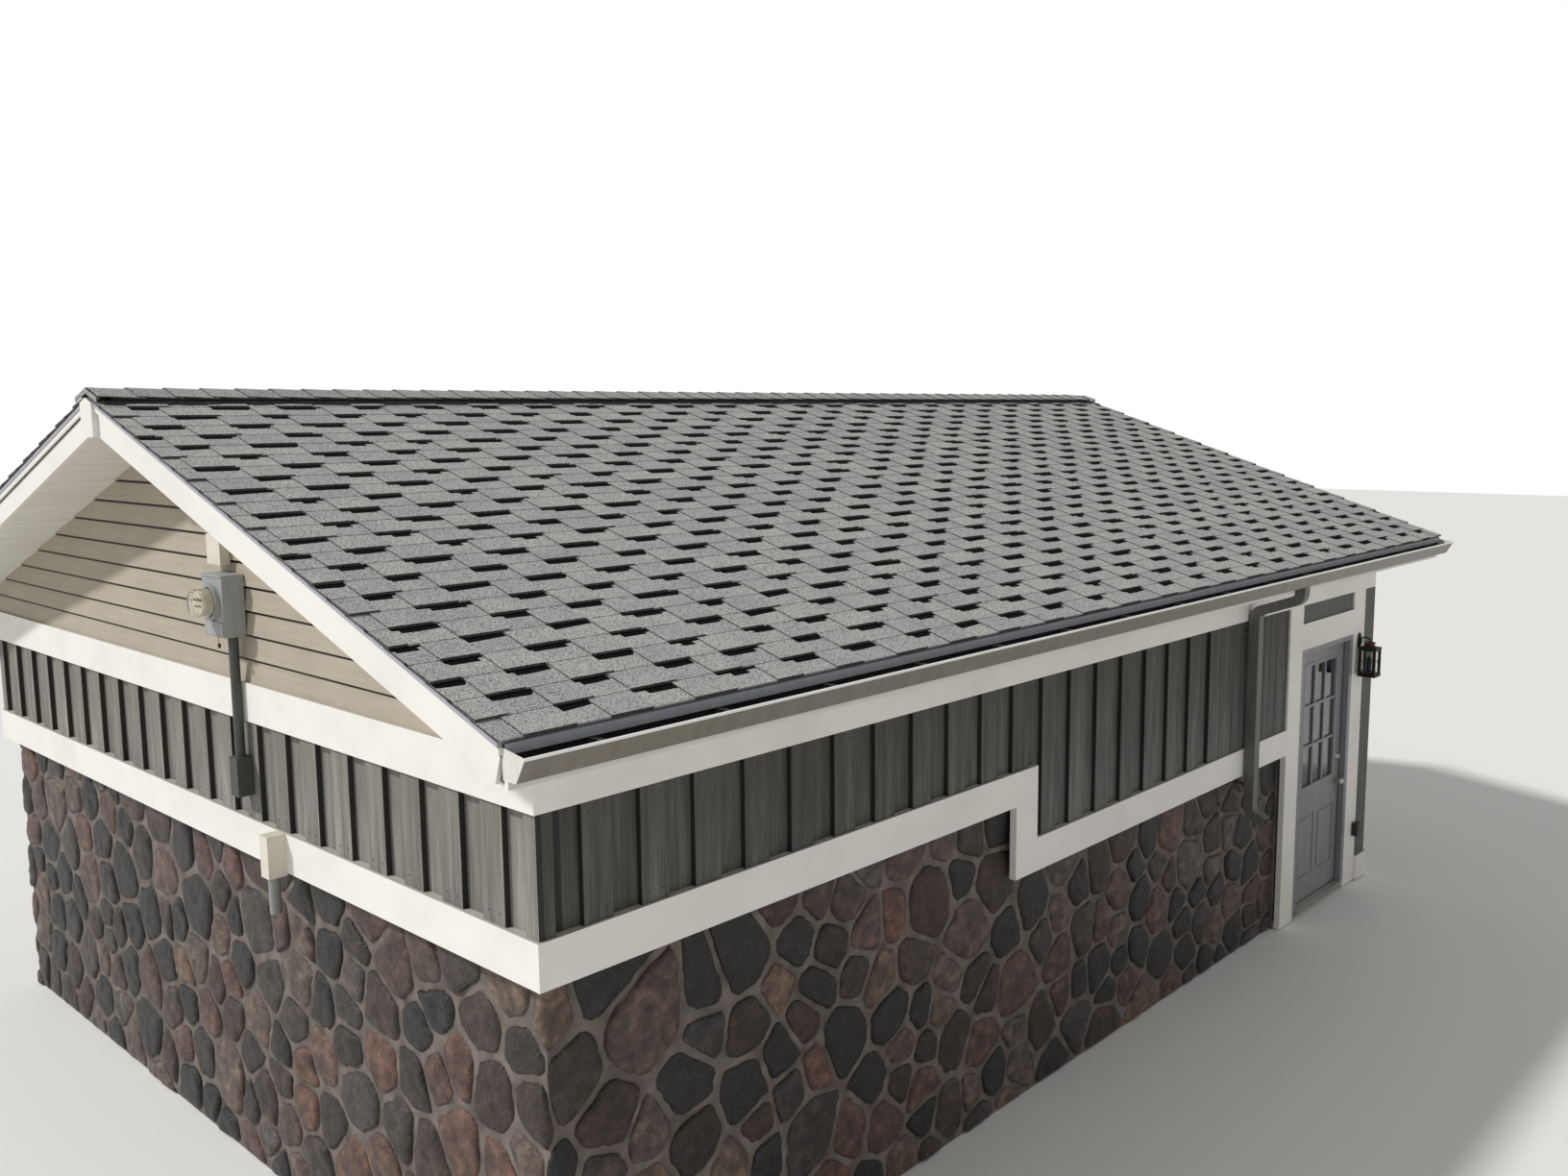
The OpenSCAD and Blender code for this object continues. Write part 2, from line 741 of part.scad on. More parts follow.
module ridge_board() {
    z1 = roof_z(board_t / 2) - under_v - seat;
    color("burlywood") block([x_in_near, -board_t / 2, z1 - rafter_d - 20], [x_in_lake, board_t / 2, z1]);
}

tie_h = 90;

module rafter_ties() {
    reach = y_in + 40;
    color("burlywood") for (i = [2:2:rafter_n - 1]) {
        x = rafter_x0 + i * rafter_step + rafter_t / 2;
        block([x, -reach, wall_top], [x + rafter_t, reach, wall_top + tie_h]);
    }
}

module roof_deck() {
    color("burlywood") both_sides()
        along_x(x_roof, -x_roof) slope_layer(slot, y_fascia, shingle_v + seat, under_v);
}

// Shingle courses as a stepped section, thick at each lower edge and level under the ridge vent
module shingle_profile() {
    edge = y_fascia + drip;
    run = course * cos(roof_pitch);
    n = floor((edge - vent_w) / run);
    thin = shingle_v * 0.45;
    tops = [for (i = [0:n - 1]) each [[run * i - edge, roof_z(edge - run * i)],
        [run * (i + 1) - edge, roof_z(edge - run * (i + 1)) - thin]]];
    top_y = edge - run * n;
    polygon(concat(tops, [[-top_y, roof_z(top_y)], [-slot, roof_z(slot)],
        [-slot, roof_z(slot) - shingle_v], [-edge, roof_z(edge) - shingle_v]]));
}

module shingles_front() {
    color("slategray") along_x(x_roof - edge_out, -x_roof + edge_out) shingle_profile();
}

module shingles_back() {
    color("slategray") to_back() along_x(x_roof - edge_out, -x_roof + edge_out) shingle_profile();
}

vent_v = plumb(vent_t);
vent_in = 60;

module ridge_vent() {
    color("black") along_x(x_roof + vent_in, -x_roof - vent_in) gable_layer(vent_w, -vent_v, -seat);
}

cap_t = 9;
cap_w = vent_w + 12;

// Overlapping cap shingles: a saw-tooth section along the ridge, folded over it
module cap_half() {
    n = floor((roof_len + 2 * edge_out) / course);
    pitch = (roof_len + 2 * edge_out) / n;
    x0 = x_roof - edge_out;
    points = [for (i = [0:n - 1]) each [[x0 + i * pitch, cap_t], [x0 + (i + 1) * pitch, cap_t / 2]]];
    translate([0, 0, roof_z(0) + vent_v + seat]) rotate([roof_pitch, 0, 0])
        along_y(-cap_w / cos(roof_pitch), 20) polygon(concat([[x0, 0]], points, [[-x0, 0]]));
}

module ridge_cap() {
    color("slategray") both_sides() intersection() {
        cap_half();
        block([x_roof - 100, -cap_w, 0], [-x_roof + 100, 0, roof_z(0) + 100]);
    }
}

// The two rake boards of one gable, cut square at their lower ends, and the trim along their top
module rake_pair() {
    a = under_v + seat;
    y1 = y_fascia - (rake_d - a) * sin(roof_pitch) * cos(roof_pitch);
    along_x(x_roof, x_roof + rake_t) polygon([[-y_fascia, roof_z(y_fascia) - a], [0, roof_z(0) - a],
        [y_fascia, roof_z(y_fascia) - a], [y1, roof_z(y1) - rake_d], [0, roof_z(0) - rake_d],
        [-y1, roof_z(y1) - rake_d]]);
    both_sides() along_x(x_roof - trim_out, x_roof)
        slope_layer(peak_w / 2, y_fascia, shingle_v + metal_h + seat, shingle_v + trim_h);
}

module rake_boards() {
    color("white") {
        rake_pair();
        mirror([1, 0, 0]) rake_pair();
    }
}

// Metal edges under the shingles: bars along the rakes and bent strips along the eaves
module drip_edges() {
    out = drip - 4;
    leg = 60;
    metal_t = 3;
    y1 = y_fascia + out;
    y2 = y1 - metal_t;
    a = shingle_v + seat;
    color("slategray") both_sides() {
        for (m = [0, 1]) mirror([m, 0, 0]) along_x(x_roof - metal_out, x_roof)
            slope_layer(peak_w / 2, y_fascia, a, shingle_v + metal_h);
        along_x(gutter_x + 1, -gutter_x - 1)
            polygon([[-y_fascia, roof_z(y_fascia) - a], [-y1, roof_z(y1) - a], [-y1, eave_z - leg],
                [-y2, eave_z - leg], [-y2, roof_z(y2) - a - metal_t],
                [-y_fascia, roof_z(y_fascia) - a - metal_t]]);
    }
}

// Sloping soffit behind the rake boards, which meets the gable wall between the long walls
module rake_soffit(over) {
    y1 = y_fascia - fascia_t;
    difference() {
        along_x(x_near - over + rake_t, x_side_near) gable_layer(y1, rake_d - plumb(soffit_t), rake_d);
        both_sides() block([x_near, -y1 - 1, 0], [x_side_near + 1, -half, roof_z(0)]);
    }
}

module rake_soffits() {
    color("gainsboro") {
        rake_soffit(near_over);
        translate([x_near + x_lake, 0, 0]) mirror([1, 0, 0]) rake_soffit(lake_over);
    }
}

// The block over the mitre of the rake boards, from the shingles down
module peak_blocks() {
    w = peak_w / 2;
    a = shingle_v + seat;
    color("white") for (s = [0, 1]) mirror([s, 0, 0]) along_x(x_roof - peak_t, x_roof)
        polygon([[-w, roof_z(w) - rake_d], [w, roof_z(w) - rake_d], [w, roof_z(w) - a], [0, roof_z(0) - a],
            [-w, roof_z(w) - a]]);
}

// Level soffit under a long eave, and the small board that closes each end up to the rake soffit
module eave_soffits() {
    y1 = y_fascia - fascia_t;
    top = soffit_z + soffit_t;
    meet = y_fascia - (top + 3 * seat - eave_z + rake_d) / rise;
    color("gainsboro") both_sides() {
        block([x_near, -y1, soffit_z], [x_lake, -half, top]);
        for (x = [x_near, x_side_lake]) along_x(x, x + trim_t)
            polygon([[-meet, top + seat], [-half + seat, top + seat], [-half + seat, soffit_z + seat],
                [-y_side, soffit_z + seat], [-y_side, roof_z(y_side) - rake_d - seat],
                [-meet, roof_z(meet) - rake_d + 2 * seat]]);
    }
}

module fascia_boards() {
    z1 = roof_z(y_fascia) - under_v;
    color("white") both_sides()
        block([x_roof + rake_t, -y_fascia, soffit_z - 6], [-x_roof - rake_t, -y_fascia + fascia_t, z1]);
}

gutter_back_z = eave_z - 34;
gutter_top = eave_z - 53;
gutter_low = gutter_top - gutter_d;

// Upright back of each gutter, on the fascia
module gutter_backs() {
    color("tan") both_sides()
        block([gutter_x, -y_fascia - gutter_t, gutter_low], [-gutter_x, -y_fascia, gutter_back_z]);
}

// Bottom of each gutter, with the hole to its downspout
module gutter_floors() {
    color("tan") both_sides() difference() {
        block([gutter_x, -y_fascia - gutter_bottom + gutter_t, gutter_low],
            [-gutter_x, -y_fascia - gutter_t, gutter_low + gutter_t]);
        translate([spout_x, spout_y0, gutter_low - 1]) cylinder(r = 28, h = gutter_t + 2, $fn = 48);
    }
}

// Leaning face of each gutter and its turned-in lip
module gutter_faces() {
    y0 = -y_fascia;
    lip = 12;
    z1 = gutter_top - gutter_t;
    color("tan") both_sides() along_x(gutter_x, -gutter_x)
        polygon([[y0 - gutter_bottom + gutter_t, gutter_low], [y0 - gutter_bottom, gutter_low],
            [y0 - gutter_w, gutter_top], [y0 - gutter_w + lip, gutter_top], [y0 - gutter_w + lip, z1],
            [y0 - gutter_w + gutter_t + 1, z1], [y0 - gutter_bottom + gutter_t, gutter_low + gutter_t]]);
}

// Caps that close the ends of the gutters, with a sloping top edge
module gutter_ends() {
    y0 = -y_fascia;
    color("tan") both_sides() for (m = [0, 1]) mirror([m, 0, 0]) along_x(x_roof, gutter_x)
        polygon([[y0, gutter_back_z], [y0, gutter_low], [y0 - gutter_bottom, gutter_low],
            [y0 - gutter_w, gutter_top]]);
}

spout_x = x_near + spout_at;
spout_y0 = -(y_fascia + gutter_bottom / 2);
spout_y1 = -(half + spout_off + spout_d / 2);

// Centre line of a downspout as [y, z, heading]: outlet, two upper elbows, the drop and the shoe.
// The heading is in degrees from straight down, positive towards the wall.
outlet_len = 44;
shoe_a = 65;
shoe_len = 90;
bend_steps = 10;
function heading(a) = [sin(a), -cos(a)];
function aside(a) = [cos(a), sin(a)];
function bend(c, r, a0, a1) = [for (i = [0:bend_steps]) let (a = a0 + (a1 - a0) * i / bend_steps)
    [c[0] + r * aside(a)[0], c[1] + r * aside(a)[1], a]];
spout_z0 = gutter_low - outlet_len;
spout_slant = (spout_y1 - spout_y0 - 2 * bend_r * (1 - cos(bend_a))) / sin(bend_a);
spout_z3 = spout_z0 - 2 * bend_r * sin(bend_a) - spout_slant * cos(bend_a);
shoe_top = bend([spout_y1 - bend_r, spout_end_z], bend_r, 0, -shoe_a);
spout_path = concat([[spout_y0, gutter_low, 0]],
    bend([spout_y0 + bend_r, spout_z0], -bend_r, 0, bend_a),
    bend([spout_y1 - bend_r, spout_z3], bend_r, bend_a, 0), shoe_top);

// Outline of the pipe from the side, w either way from the centre line and longer by over at both ends
module spout_outline(w, over) {
    last = shoe_top[bend_steps];
    ends = heading(-shoe_a) * (shoe_len + over);
    path = concat([[spout_y0, gutter_low + over, 0]], spout_path,
        [[last[0] + ends[0], last[1] + ends[1], -shoe_a]]);
    n = len(path) - 1;
    polygon(concat([for (p = path) [p[0] + w * aside(p[2])[0], p[1] + w * aside(p[2])[1]]],
        [for (i = [n:-1:0]) [path[i][0] - w * aside(path[i][2])[0], path[i][1] - w * aside(path[i][2])[1]]]));
}

// Two stand-offs that carry a downspout, one on the foundation and one on the siding
module spout_straps() {
    low = spout_end_z + 150;
    high = spout_z3 - 120;
    block([spout_x - 28, -half - spout_off, low - 12], [spout_x + 28, -y_found, low + 12]);
    block([spout_x - 28, -half - spout_off, high - 12], [spout_x + 28, -y_side, high + 12]);
}

// The pipe with its stand-offs
module downspout() {
    difference() {
        along_x(spout_x - spout_w / 2, spout_x + spout_w / 2) spout_outline(spout_d / 2, 0);
        along_x(spout_x - spout_w / 2 + spout_t, spout_x + spout_w / 2 - spout_t)
            spout_outline(spout_d / 2 - spout_t, 5);
    }
    spout_straps();
}

module downspouts() {
    color("rosybrown") both_sides() downspout();
}

meter_y = -half + meter_at;
meter_mid = meter_z + meter_h - 130;

module meter_socket() {
    color("silver") {
        block([x_side_near - lap_t - meter_d, meter_y - meter_w / 2, meter_z],
            [x_side_near - lap_t, meter_y + meter_w / 2, meter_z + meter_h]);
        translate([x_side_near - lap_t - meter_d, meter_y, meter_mid]) rotate([0, -90, 0])
            difference() {
                cylinder(r = meter_r + 12, h = 22, $fn = 72);
                translate([0, 0, 8]) cylinder(r = meter_r + 0.3, h = 22, $fn = 72);
            }
    }
}

module meter_glass() {
    color("lightblue") translate([x_side_near - lap_t - meter_d - 8, meter_y, meter_mid]) rotate([0, -90, 0])
        rotate_extrude($fn = 72) polygon([[0, 0], [meter_r, 0], [meter_r, 84], [meter_r - 6, 94], [0, 97]]);
}

conduit_y = meter_y - 60;
conduit_x = x_near - conduit_r - 4;
pull_z = 2115;
pull_h = 195;

module pull_box() {
    block([conduit_x - 40, conduit_y - 42, pull_z], [x_side_near, conduit_y + 42, pull_z + pull_h]);
}

// The service pipe from the meter down to its pull box
module conduit() {
    color("gray") {
        translate([conduit_x, conduit_y, pull_z + pull_h])
            cylinder(r = conduit_r, h = meter_z - pull_z - pull_h, $fn = 48);
        pull_box();
    }
}

small_box_w = 146;
small_box_h = 148;
outlet_w = 72;
outlet_h = 110;
outlet_z = 410;

// Small box above the meter, low box with its stub on the skirt, and the outlet on the door casing
module service_boxes() {
    box_y = -half + small_box_at;
    low_y = -half + low_box_at;
    low_z = skirt_z1 - 12;
    outlet_x = x_door1 + casing_w - 46;
    color("ivory") {
        block([x_side_near - lap_t - 50, box_y - small_box_w / 2, small_box_z],
            [x_side_near - lap_t, box_y + small_box_w / 2, small_box_z + small_box_h]);
        block([x_near - 93, low_y - 40, low_z], [x_near, low_y + 40, skirt_z1 + skirt_h]);
        translate([x_near - 50, low_y, low_z - 182]) cylinder(r = 28, h = 182, $fn = 48);
    }
    color("dimgray") block([outlet_x - outlet_w / 2, -half - 48, outlet_z],
        [outlet_x + outlet_w / 2, -half, outlet_z + outlet_h]);
}

lantern_x = x_door1 + casing_w / 2 + 10;
lantern_y = -half - 22 - lantern_w / 2;

// Wall lantern: back plate and arm, foot, four posts, glazed body, roof and ring
module lantern() {
    a = lantern_w / 2;
    foot = 14;
    post = 14;
    head_z = lantern_z + lantern_h;
    color("saddlebrown") {
        block([lantern_x - 35, -half - 6, head_z - 20], [lantern_x + 35, -half, head_z + 110]);
        block([lantern_x - 8, lantern_y, head_z + 66], [lantern_x + 8, -half - 6, head_z + 84]);
        translate([lantern_x, lantern_y, lantern_z]) {
            translate([-a, -a, 0]) cube([2 * a, 2 * a, foot]);
            for (sx = [0, 1], sy = [0, 1]) mirror([sx, 0, 0]) mirror([0, sy, 0])
                translate([a - post, a - post, foot]) cube([post, post, lantern_h - 2 * foot]);
            translate([-a, -a, lantern_h - foot]) cube([2 * a, 2 * a, foot]);
            translate([0, 0, lantern_h]) cylinder(r1 = a * 1.2, r2 = a * 0.45, h = 46, $fn = 4 * 12);
            translate([0, 0, lantern_h + 46]) cylinder(r = a * 0.4, h = 26, $fn = 32);
        }
    }
}

floor_slab();
foundation_near();
foundation_sides();
wall_near();
wall_front();
wall_over_door();
wall_corner();
wall_back();
wall_lake_sides();
wall_lake_gable();
lap_siding();
boards_front();
boards_back();
boards_gables();
frieze_boards();
belly_bands();
skirt_front();
skirt_back();
skirt_gables();
corner_boards();
corner_plinths();
door_casing();
transom_panel();
door_frame();
door_sill();
door_leaf();
door_bars();
door_glass();
hinge_pins();
door_hinges();
door_lock();
door_knob();
boat_door();
boat_door_frame();
boat_door_casing();
rafters();
ridge_board();
rafter_ties();
roof_deck();
shingles_front();
shingles_back();
ridge_vent();
ridge_cap();
rake_boards();
drip_edges();
rake_soffits();
peak_blocks();
eave_soffits();
fascia_boards();
gutter_backs();
gutter_floors();
gutter_faces();
gutter_ends();
downspouts();
meter_socket();
meter_glass();
conduit();
service_boxes();
lantern();
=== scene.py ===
import math
import random
from functools import partial

import bpy
from mathutils import Matrix, Vector, noise


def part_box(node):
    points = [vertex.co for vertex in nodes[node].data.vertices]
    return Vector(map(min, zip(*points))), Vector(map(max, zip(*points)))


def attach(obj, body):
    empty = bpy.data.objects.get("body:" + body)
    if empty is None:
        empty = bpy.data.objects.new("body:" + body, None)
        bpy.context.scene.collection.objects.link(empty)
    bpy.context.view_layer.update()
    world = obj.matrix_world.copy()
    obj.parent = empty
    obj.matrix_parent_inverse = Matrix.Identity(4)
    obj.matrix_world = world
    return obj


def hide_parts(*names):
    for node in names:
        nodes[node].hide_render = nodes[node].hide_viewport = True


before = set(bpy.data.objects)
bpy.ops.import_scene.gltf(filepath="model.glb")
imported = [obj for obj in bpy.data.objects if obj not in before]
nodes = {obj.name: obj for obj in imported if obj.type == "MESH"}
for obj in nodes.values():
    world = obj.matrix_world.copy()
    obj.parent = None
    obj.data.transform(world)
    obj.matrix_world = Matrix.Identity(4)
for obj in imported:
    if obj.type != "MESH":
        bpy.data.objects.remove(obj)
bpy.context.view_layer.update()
print("boathouse: frame loaded with", len(nodes), "nodes")

# The plan of the house in metres, as the solids have it
house = {
    "stoneY": 3.038,        # outermost face of the stonework, long walls
    "stoneX": -4.273,       # and on the uphill gable
    "stoneTop": 1.822,
    "stoneTopLow": 1.402,
    "stepX": -1.003,        # where the stonework steps down
    "bayX": 2.515,
    "wallDepth": 0.300,
    "ridgeZ": 4.0957,
    "rise": 0.34726,        # tangent of the roof pitch
    "roofHalf": 4.697,      # half the length of the shingled roof
}


def linear(colour):
    # sRGB hex to the linear values that Blender's sockets take; a plain number is a grey factor
    if not isinstance(colour, str):
        return (colour, colour, colour, 1.0)
    parts = [int(colour[i:i + 2], 16) / 255 for i in (1, 3, 5)]
    return tuple(c / 12.92 if c <= 0.04045 else ((c + 0.055) / 1.055) ** 2.4 for c in parts) + (1.0,)


def addNode(tree, kind, inputs=(), stops=(), **settings):
    # kind may leave out "ShaderNode"; inputs is a list in the sockets' order, or a dictionary by their names
    # or numbers, of values, hex colours, sockets, and nodes, which stand for their first output in use
    node = tree.nodes.new(kind if "Node" in kind else "ShaderNode" + kind)
    for name, value in settings.items():
        setattr(node, name, value)
    if stops:
        ramp = node.color_ramp.elements
        for _ in stops[2:]:
            ramp.new(1.0)
        for element, (spot, colour) in zip(ramp, stops):
            element.position = spot
            element.color = linear(colour)
    for key, value in inputs.items() if isinstance(inputs, dict) else enumerate(inputs):
        if isinstance(value, bpy.types.Node):
            value = next(socket for socket in value.outputs if socket.enabled)
        if isinstance(value, bpy.types.NodeSocket):
            tree.links.new(value, node.inputs[key])
        else:
            node.inputs[key].default_value = linear(value) if str(value)[:1] == "#" else value
    return node


def newMaterial(name):
    material = bpy.data.materials.new(name)
    material.use_nodes = True
    material.node_tree.nodes.clear()
    add = partial(addNode, material.node_tree)
    return material, add, add("TexCoord").outputs["Object"]


def finish(material, colour, height, depth, roughness, more=None):
    # joins all to the shader; depth is the bump's height in metres, more holds other inputs of the shader
    add = partial(addNode, material.node_tree)
    inputs = {"Base Color": colour, "Roughness": roughness, **(more or {})}
    if height:
        inputs["Normal"] = add("Bump", {"Height": height, "Distance": depth, "Strength": 1.0})
    add("OutputMaterial", [add("BsdfPrincipled", inputs)])
    return material


def addObject(name, data):
    thing = bpy.data.objects.new(name, data)
    bpy.context.scene.collection.objects.link(thing)
    return thing


def makePiece(name, mesh, material, body="building"):
    mesh.materials.clear()
    mesh.materials.append(material)
    piece = addObject(name, mesh)
    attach(piece, body)
    return piece


def meshFrom(name, points, faces, **faceValues):
    mesh = bpy.data.meshes.new(name)
    mesh.from_pydata(points, [], faces)
    for key, values in faceValues.items():
        mesh.attributes.new(key, "FLOAT", "FACE").data.foreach_set("value", values)
    mesh.update()
    return mesh


# Solid-stained softwood boards, upright: dull, with a stretched grain, streaks and a tone for each board
stainedBoards = {
    "long": {"stops": [(0.12, "#20201f"), (0.36, "#41413f"), (0.58, "#5c5d5b"), (0.86, "#84847e")],
             "top": "#4a443c", "foot": "#6f706a", "pitch": 0.296, "start": -4.094},
    "gable": {"stops": [(0.12, "#363532"), (0.36, "#62605b"), (0.58, "#8b8983"), (0.86, "#bab6ac")],
              "top": "#77736a", "foot": "#96938a", "pitch": 0.29326, "start": -2.859},
}


def boardMaterial(name, values, axis):
    material, add, place = newMaterial(name)
    fibre = add("Mapping", {0: place, "Scale": (170.0, 170.0, 4.5)})
    grain = add("TexNoise", {0: fibre, "Scale": 1.0, "Detail": 6.0, "Roughness": 0.65})
    wide = add("Mapping", {0: place, "Scale": (22.0, 22.0, 1.3)})
    streak = add("TexNoise", {0: wide, "Scale": 1.0, "Detail": 4.0})
    # one tone for each board, by the pitch of the boards
    shift = add("Mapping", {0: place, "Location": (-values["start"], -values["start"], 0.0)})
    cell = add("VectorMath", [shift, (values["pitch"], values["pitch"], 100.0)], operation="SNAP")
    tone = add("TexWhiteNoise", [cell])
    first = add("Math", [grain, 0.9, -0.36], operation="MULTIPLY_ADD")
    second = add("Math", [streak, 0.72, first], operation="MULTIPLY_ADD")
    third = add("Math", [tone, 0.16, second], operation="MULTIPLY_ADD")
    colour = add("ValToRGB", [third], stops=values["stops"])
    # browner towards the frieze, greyer and paler towards the foot
    height = add("SeparateXYZ", [place])
    upper = add("MapRange", [height.outputs[2], 1.75, 2.5, 0.0, 0.65])
    lower = add("MapRange", [height.outputs[2], 1.95, 1.5, 0.0, 0.4])
    warm = add("Mix", {0: upper, 6: colour, 7: values["top"]}, data_type="RGBA")
    pale = add("Mix", {0: lower, 6: warm, 7: values["foot"]}, data_type="RGBA")
    # painted shade: the narrow side faces are painted near-black for the shade on them and the shadow the
    # raised boards cast, with some stain
    normal = add("NewGeometry")
    parts = add("SeparateXYZ", [normal.outputs["True Normal"]])
    side = add("Math", [parts.outputs[axis]], operation="ABSOLUTE")
    dark = add("Math", [side, 0.92], operation="MULTIPLY")
    edge = add("Mix", {0: dark, 6: pale, 7: "#151413"}, data_type="RGBA")
    return finish(material, edge, grain, 0.0012, 0.78)


# Brushed exterior paint on wood: nearly smooth, faint brush lines, grey dirt where water runs
def paintMaterial(name, colour, dirt, roughness=0.5, stretch=(12.0, 12.0, 1.6), amount=0.35, ledge=0.0):
    material, add, place = newMaterial(name)
    spread = add("Mapping", {0: place, "Scale": stretch})
    stain = add("TexNoise", {0: spread, "Scale": 1.0, "Detail": 6.0, "Roughness": 0.6})
    mask = add("ValToRGB", [stain], stops=[(0.45, 0.0), (0.8, 1.0)])
    fine = add("TexNoise", {0: place, "Scale": 220.0, "Detail": 3.0})
    # ledge is how much dirt lies on faces that look up
    normal = add("NewGeometry")
    parts = add("SeparateXYZ", [normal.outputs["True Normal"]])
    up = add("Math", [parts.outputs[2], ledge], operation="MULTIPLY", use_clamp=True)
    share = add("Math", [mask, amount, up], operation="MULTIPLY_ADD", use_clamp=True)
    mixed = add("Mix", {0: share, 6: colour, 7: dirt}, data_type="RGBA")
    rough = add("MapRange", {0: stain, 3: roughness - 0.1, 4: roughness + 0.15})
    return finish(material, mixed, fine, 0.0003, rough)


# Painted lap siding: satin, faint level grain, weathered blotches, and a painted shadow under each lap
# line is the near-black colour of the painted shadow under each lap
lapValues = {"colour": "#b0a694", "worn": "#948a7b", "line": "#0b0a09", "foot": 2.681, "course": 0.119}


def lapMaterial(values):
    material, add, place = newMaterial("lapSidingPaint")
    spread = add("Mapping", {0: place, "Scale": (2.5, 2.5, 60.0)})
    grain = add("TexNoise", {0: spread, "Scale": 1.0, "Detail": 6.0})
    blotch = add("TexNoise", {0: place, "Scale": 3.5, "Detail": 5.0})
    both = add("Math", [blotch, 0.9, grain], operation="MULTIPLY_ADD")
    share = add("MapRange", [both, 0.8, 1.3, 0.0, 0.5])
    colour = add("Mix", {0: share, 6: values["colour"], 7: values["worn"]}, data_type="RGBA")
    # height within a course: a band just under each lap's edge is painted near-black, a painted shadow of the
    # lap above
    parts = add("SeparateXYZ", [place])
    above = add("Math", [parts.outputs[2], values["foot"]], operation="SUBTRACT")
    level = add("Math", [above, values["course"]], operation="FLOORED_MODULO")
    under = add("MapRange", [level, values["course"] - 0.016, values["course"] - 0.014, 0.0, 1.0])
    edge = add("Mix", {0: under, 6: colour, 7: values["line"]}, data_type="RGBA")
    return finish(material, edge, grain, 0.0005, 0.6)


# Coil-coated gutter: taupe outside, the top of the rolled lip painted white as a painted highlight, and the
# inner faces near-black: painted shade with some grime
# lip is the white of the painted highlight along the top of the rolled lip; inside is the near-black of
# painted shade with some grime
gutterValues = {"outside": "#7a7468", "streak": "#938c7f", "lip": "#f1f0ec", "inside": "#171615",
                "lipHighlightZ": 2.839}


def gutterMaterial(values):
    material, add, place = newMaterial("coilCoatedGutter")
    run = add("Mapping", {0: place, "Scale": (24.0, 6.0, 6.0)})
    film = add("TexNoise", {0: run, "Scale": 1.0, "Detail": 5.0})
    mask = add("MapRange", [film, 0.4, 0.75, 0.0, 0.5])
    coat = add("Mix", {0: mask, 6: values["outside"], 7: values["streak"]}, data_type="RGBA")
    spot = add("SeparateXYZ", [place])
    # inner faces painted near-black: painted shade inside the gutter, with some grime
    normal = add("NewGeometry")
    facing = add("SeparateXYZ", [normal.outputs["True Normal"]])
    towards = add("Math", [spot.outputs[1], facing.outputs[1]], operation="MULTIPLY")
    inner = add("Math", [towards, -0.4], operation="LESS_THAN")
    inside = add("Mix", {0: inner, 6: coat, 7: values["inside"]}, data_type="RGBA")
    # painted highlight: white above a set height, where the sun catches the rolled lip
    top = add("Math", [spot.outputs[2], values["lipHighlightZ"]], operation="GREATER_THAN")
    lip = add("Mix", {0: top, 6: inside, 7: values["lip"]}, data_type="RGBA")
    return finish(material, lip, film, 0.0008, 0.42)


# Dry-laid granules on asphalt shingles: matt, speckled, a tone for each tab and a black band: the printed
# shadow band, with a painted shadow of the tab above
def shingleMaterial(name, low, middle, high):
    material, add, place = newMaterial(name)
    tone = add("Attribute", attribute_name="tone", attribute_type="GEOMETRY")
    ink = add("Attribute", attribute_name="ink", attribute_type="GEOMETRY")
    cloud = add("TexNoise", {0: place, "Scale": 7.0, "Detail": 3.0})
    blend = add("Math", [cloud, 0.8, -0.15], operation="MULTIPLY_ADD")
    total = add("Math", [tone.outputs["Fac"], 0.32, blend], operation="MULTIPLY_ADD")
    base = add("ValToRGB", [total], stops=[(0.1, low), (0.5, middle), (0.9, high)])
    # granules are 1.5 mm across; drawn at 8 mm so that they show
    grit = add("TexNoise", {0: place, "Scale": 125.0, "Detail": 3.0, "Roughness": 0.85})
    speck = add("ValToRGB", [grit],
                stops=[(0.36, "#47484c"), (0.45, "#b0b0b0"), (0.53, "#eeeeee"), (0.62, "#ffffff")])
    grains = add("Mix", {0: 0.9, 6: base, 7: speck}, data_type="RGBA", blend_type="MULTIPLY")
    # ink is 1 on the black band, the printed shadow band with a painted shadow of the tab above, and less on
    # cut edges, where the brown asphalt shows
    dark = add("ValToRGB", [ink.outputs["Fac"]], stops=[(0.85, "#2e2621"), (0.95, "#040404")])
    shade = add("Mix", {0: ink.outputs["Fac"], 6: grains, 7: dark}, data_type="RGBA")
    return finish(material, shade, grit, 0.0015, 0.95, {"Specular IOR Level": 0.12})


# Split granite fieldstone, weathered: dull, crystalline speckle, one colour to a stone
def stoneMaterial():
    material, add, place = newMaterial("graniteFieldstone")
    kind = add("Attribute", attribute_name="kind", attribute_type="GEOMETRY")
    body = add("ValToRGB", [kind.outputs["Fac"]], stops=[
        (0.0, "#161518"), (0.24, "#2a282b"), (0.38, "#553c31"), (0.52, "#4e4a4a"), (0.68, "#8a6153"),
        (0.84, "#746c67"), (1.0, "#9a7c67")])
    patch = add("TexNoise", {0: place, "Scale": 14.0, "Detail": 7.0, "Roughness": 0.62})
    grain = add("TexVoronoi", {0: place, "Scale": 130.0})
    level = add("ValToRGB", [patch], stops=[(0.3, "#38383c"), (0.5, "#99958f"), (0.7, "#f0edea")])
    mottled = add("Mix", {0: 0.92, 6: body, 7: level}, data_type="RGBA", blend_type="MULTIPLY")
    crystal = add("Math", [grain.outputs["Color"], 0.06], operation="MULTIPLY")
    sparkle = add("Mix", {0: crystal, 6: mottled, 7: "#b9b4ad"}, data_type="RGBA")
    rough = add("Math", [grain.outputs["Distance"], 0.12, patch], operation="MULTIPLY_ADD")
    return finish(material, sparkle, rough, 0.018, 0.4, {"Specular IOR Level": 0.35})


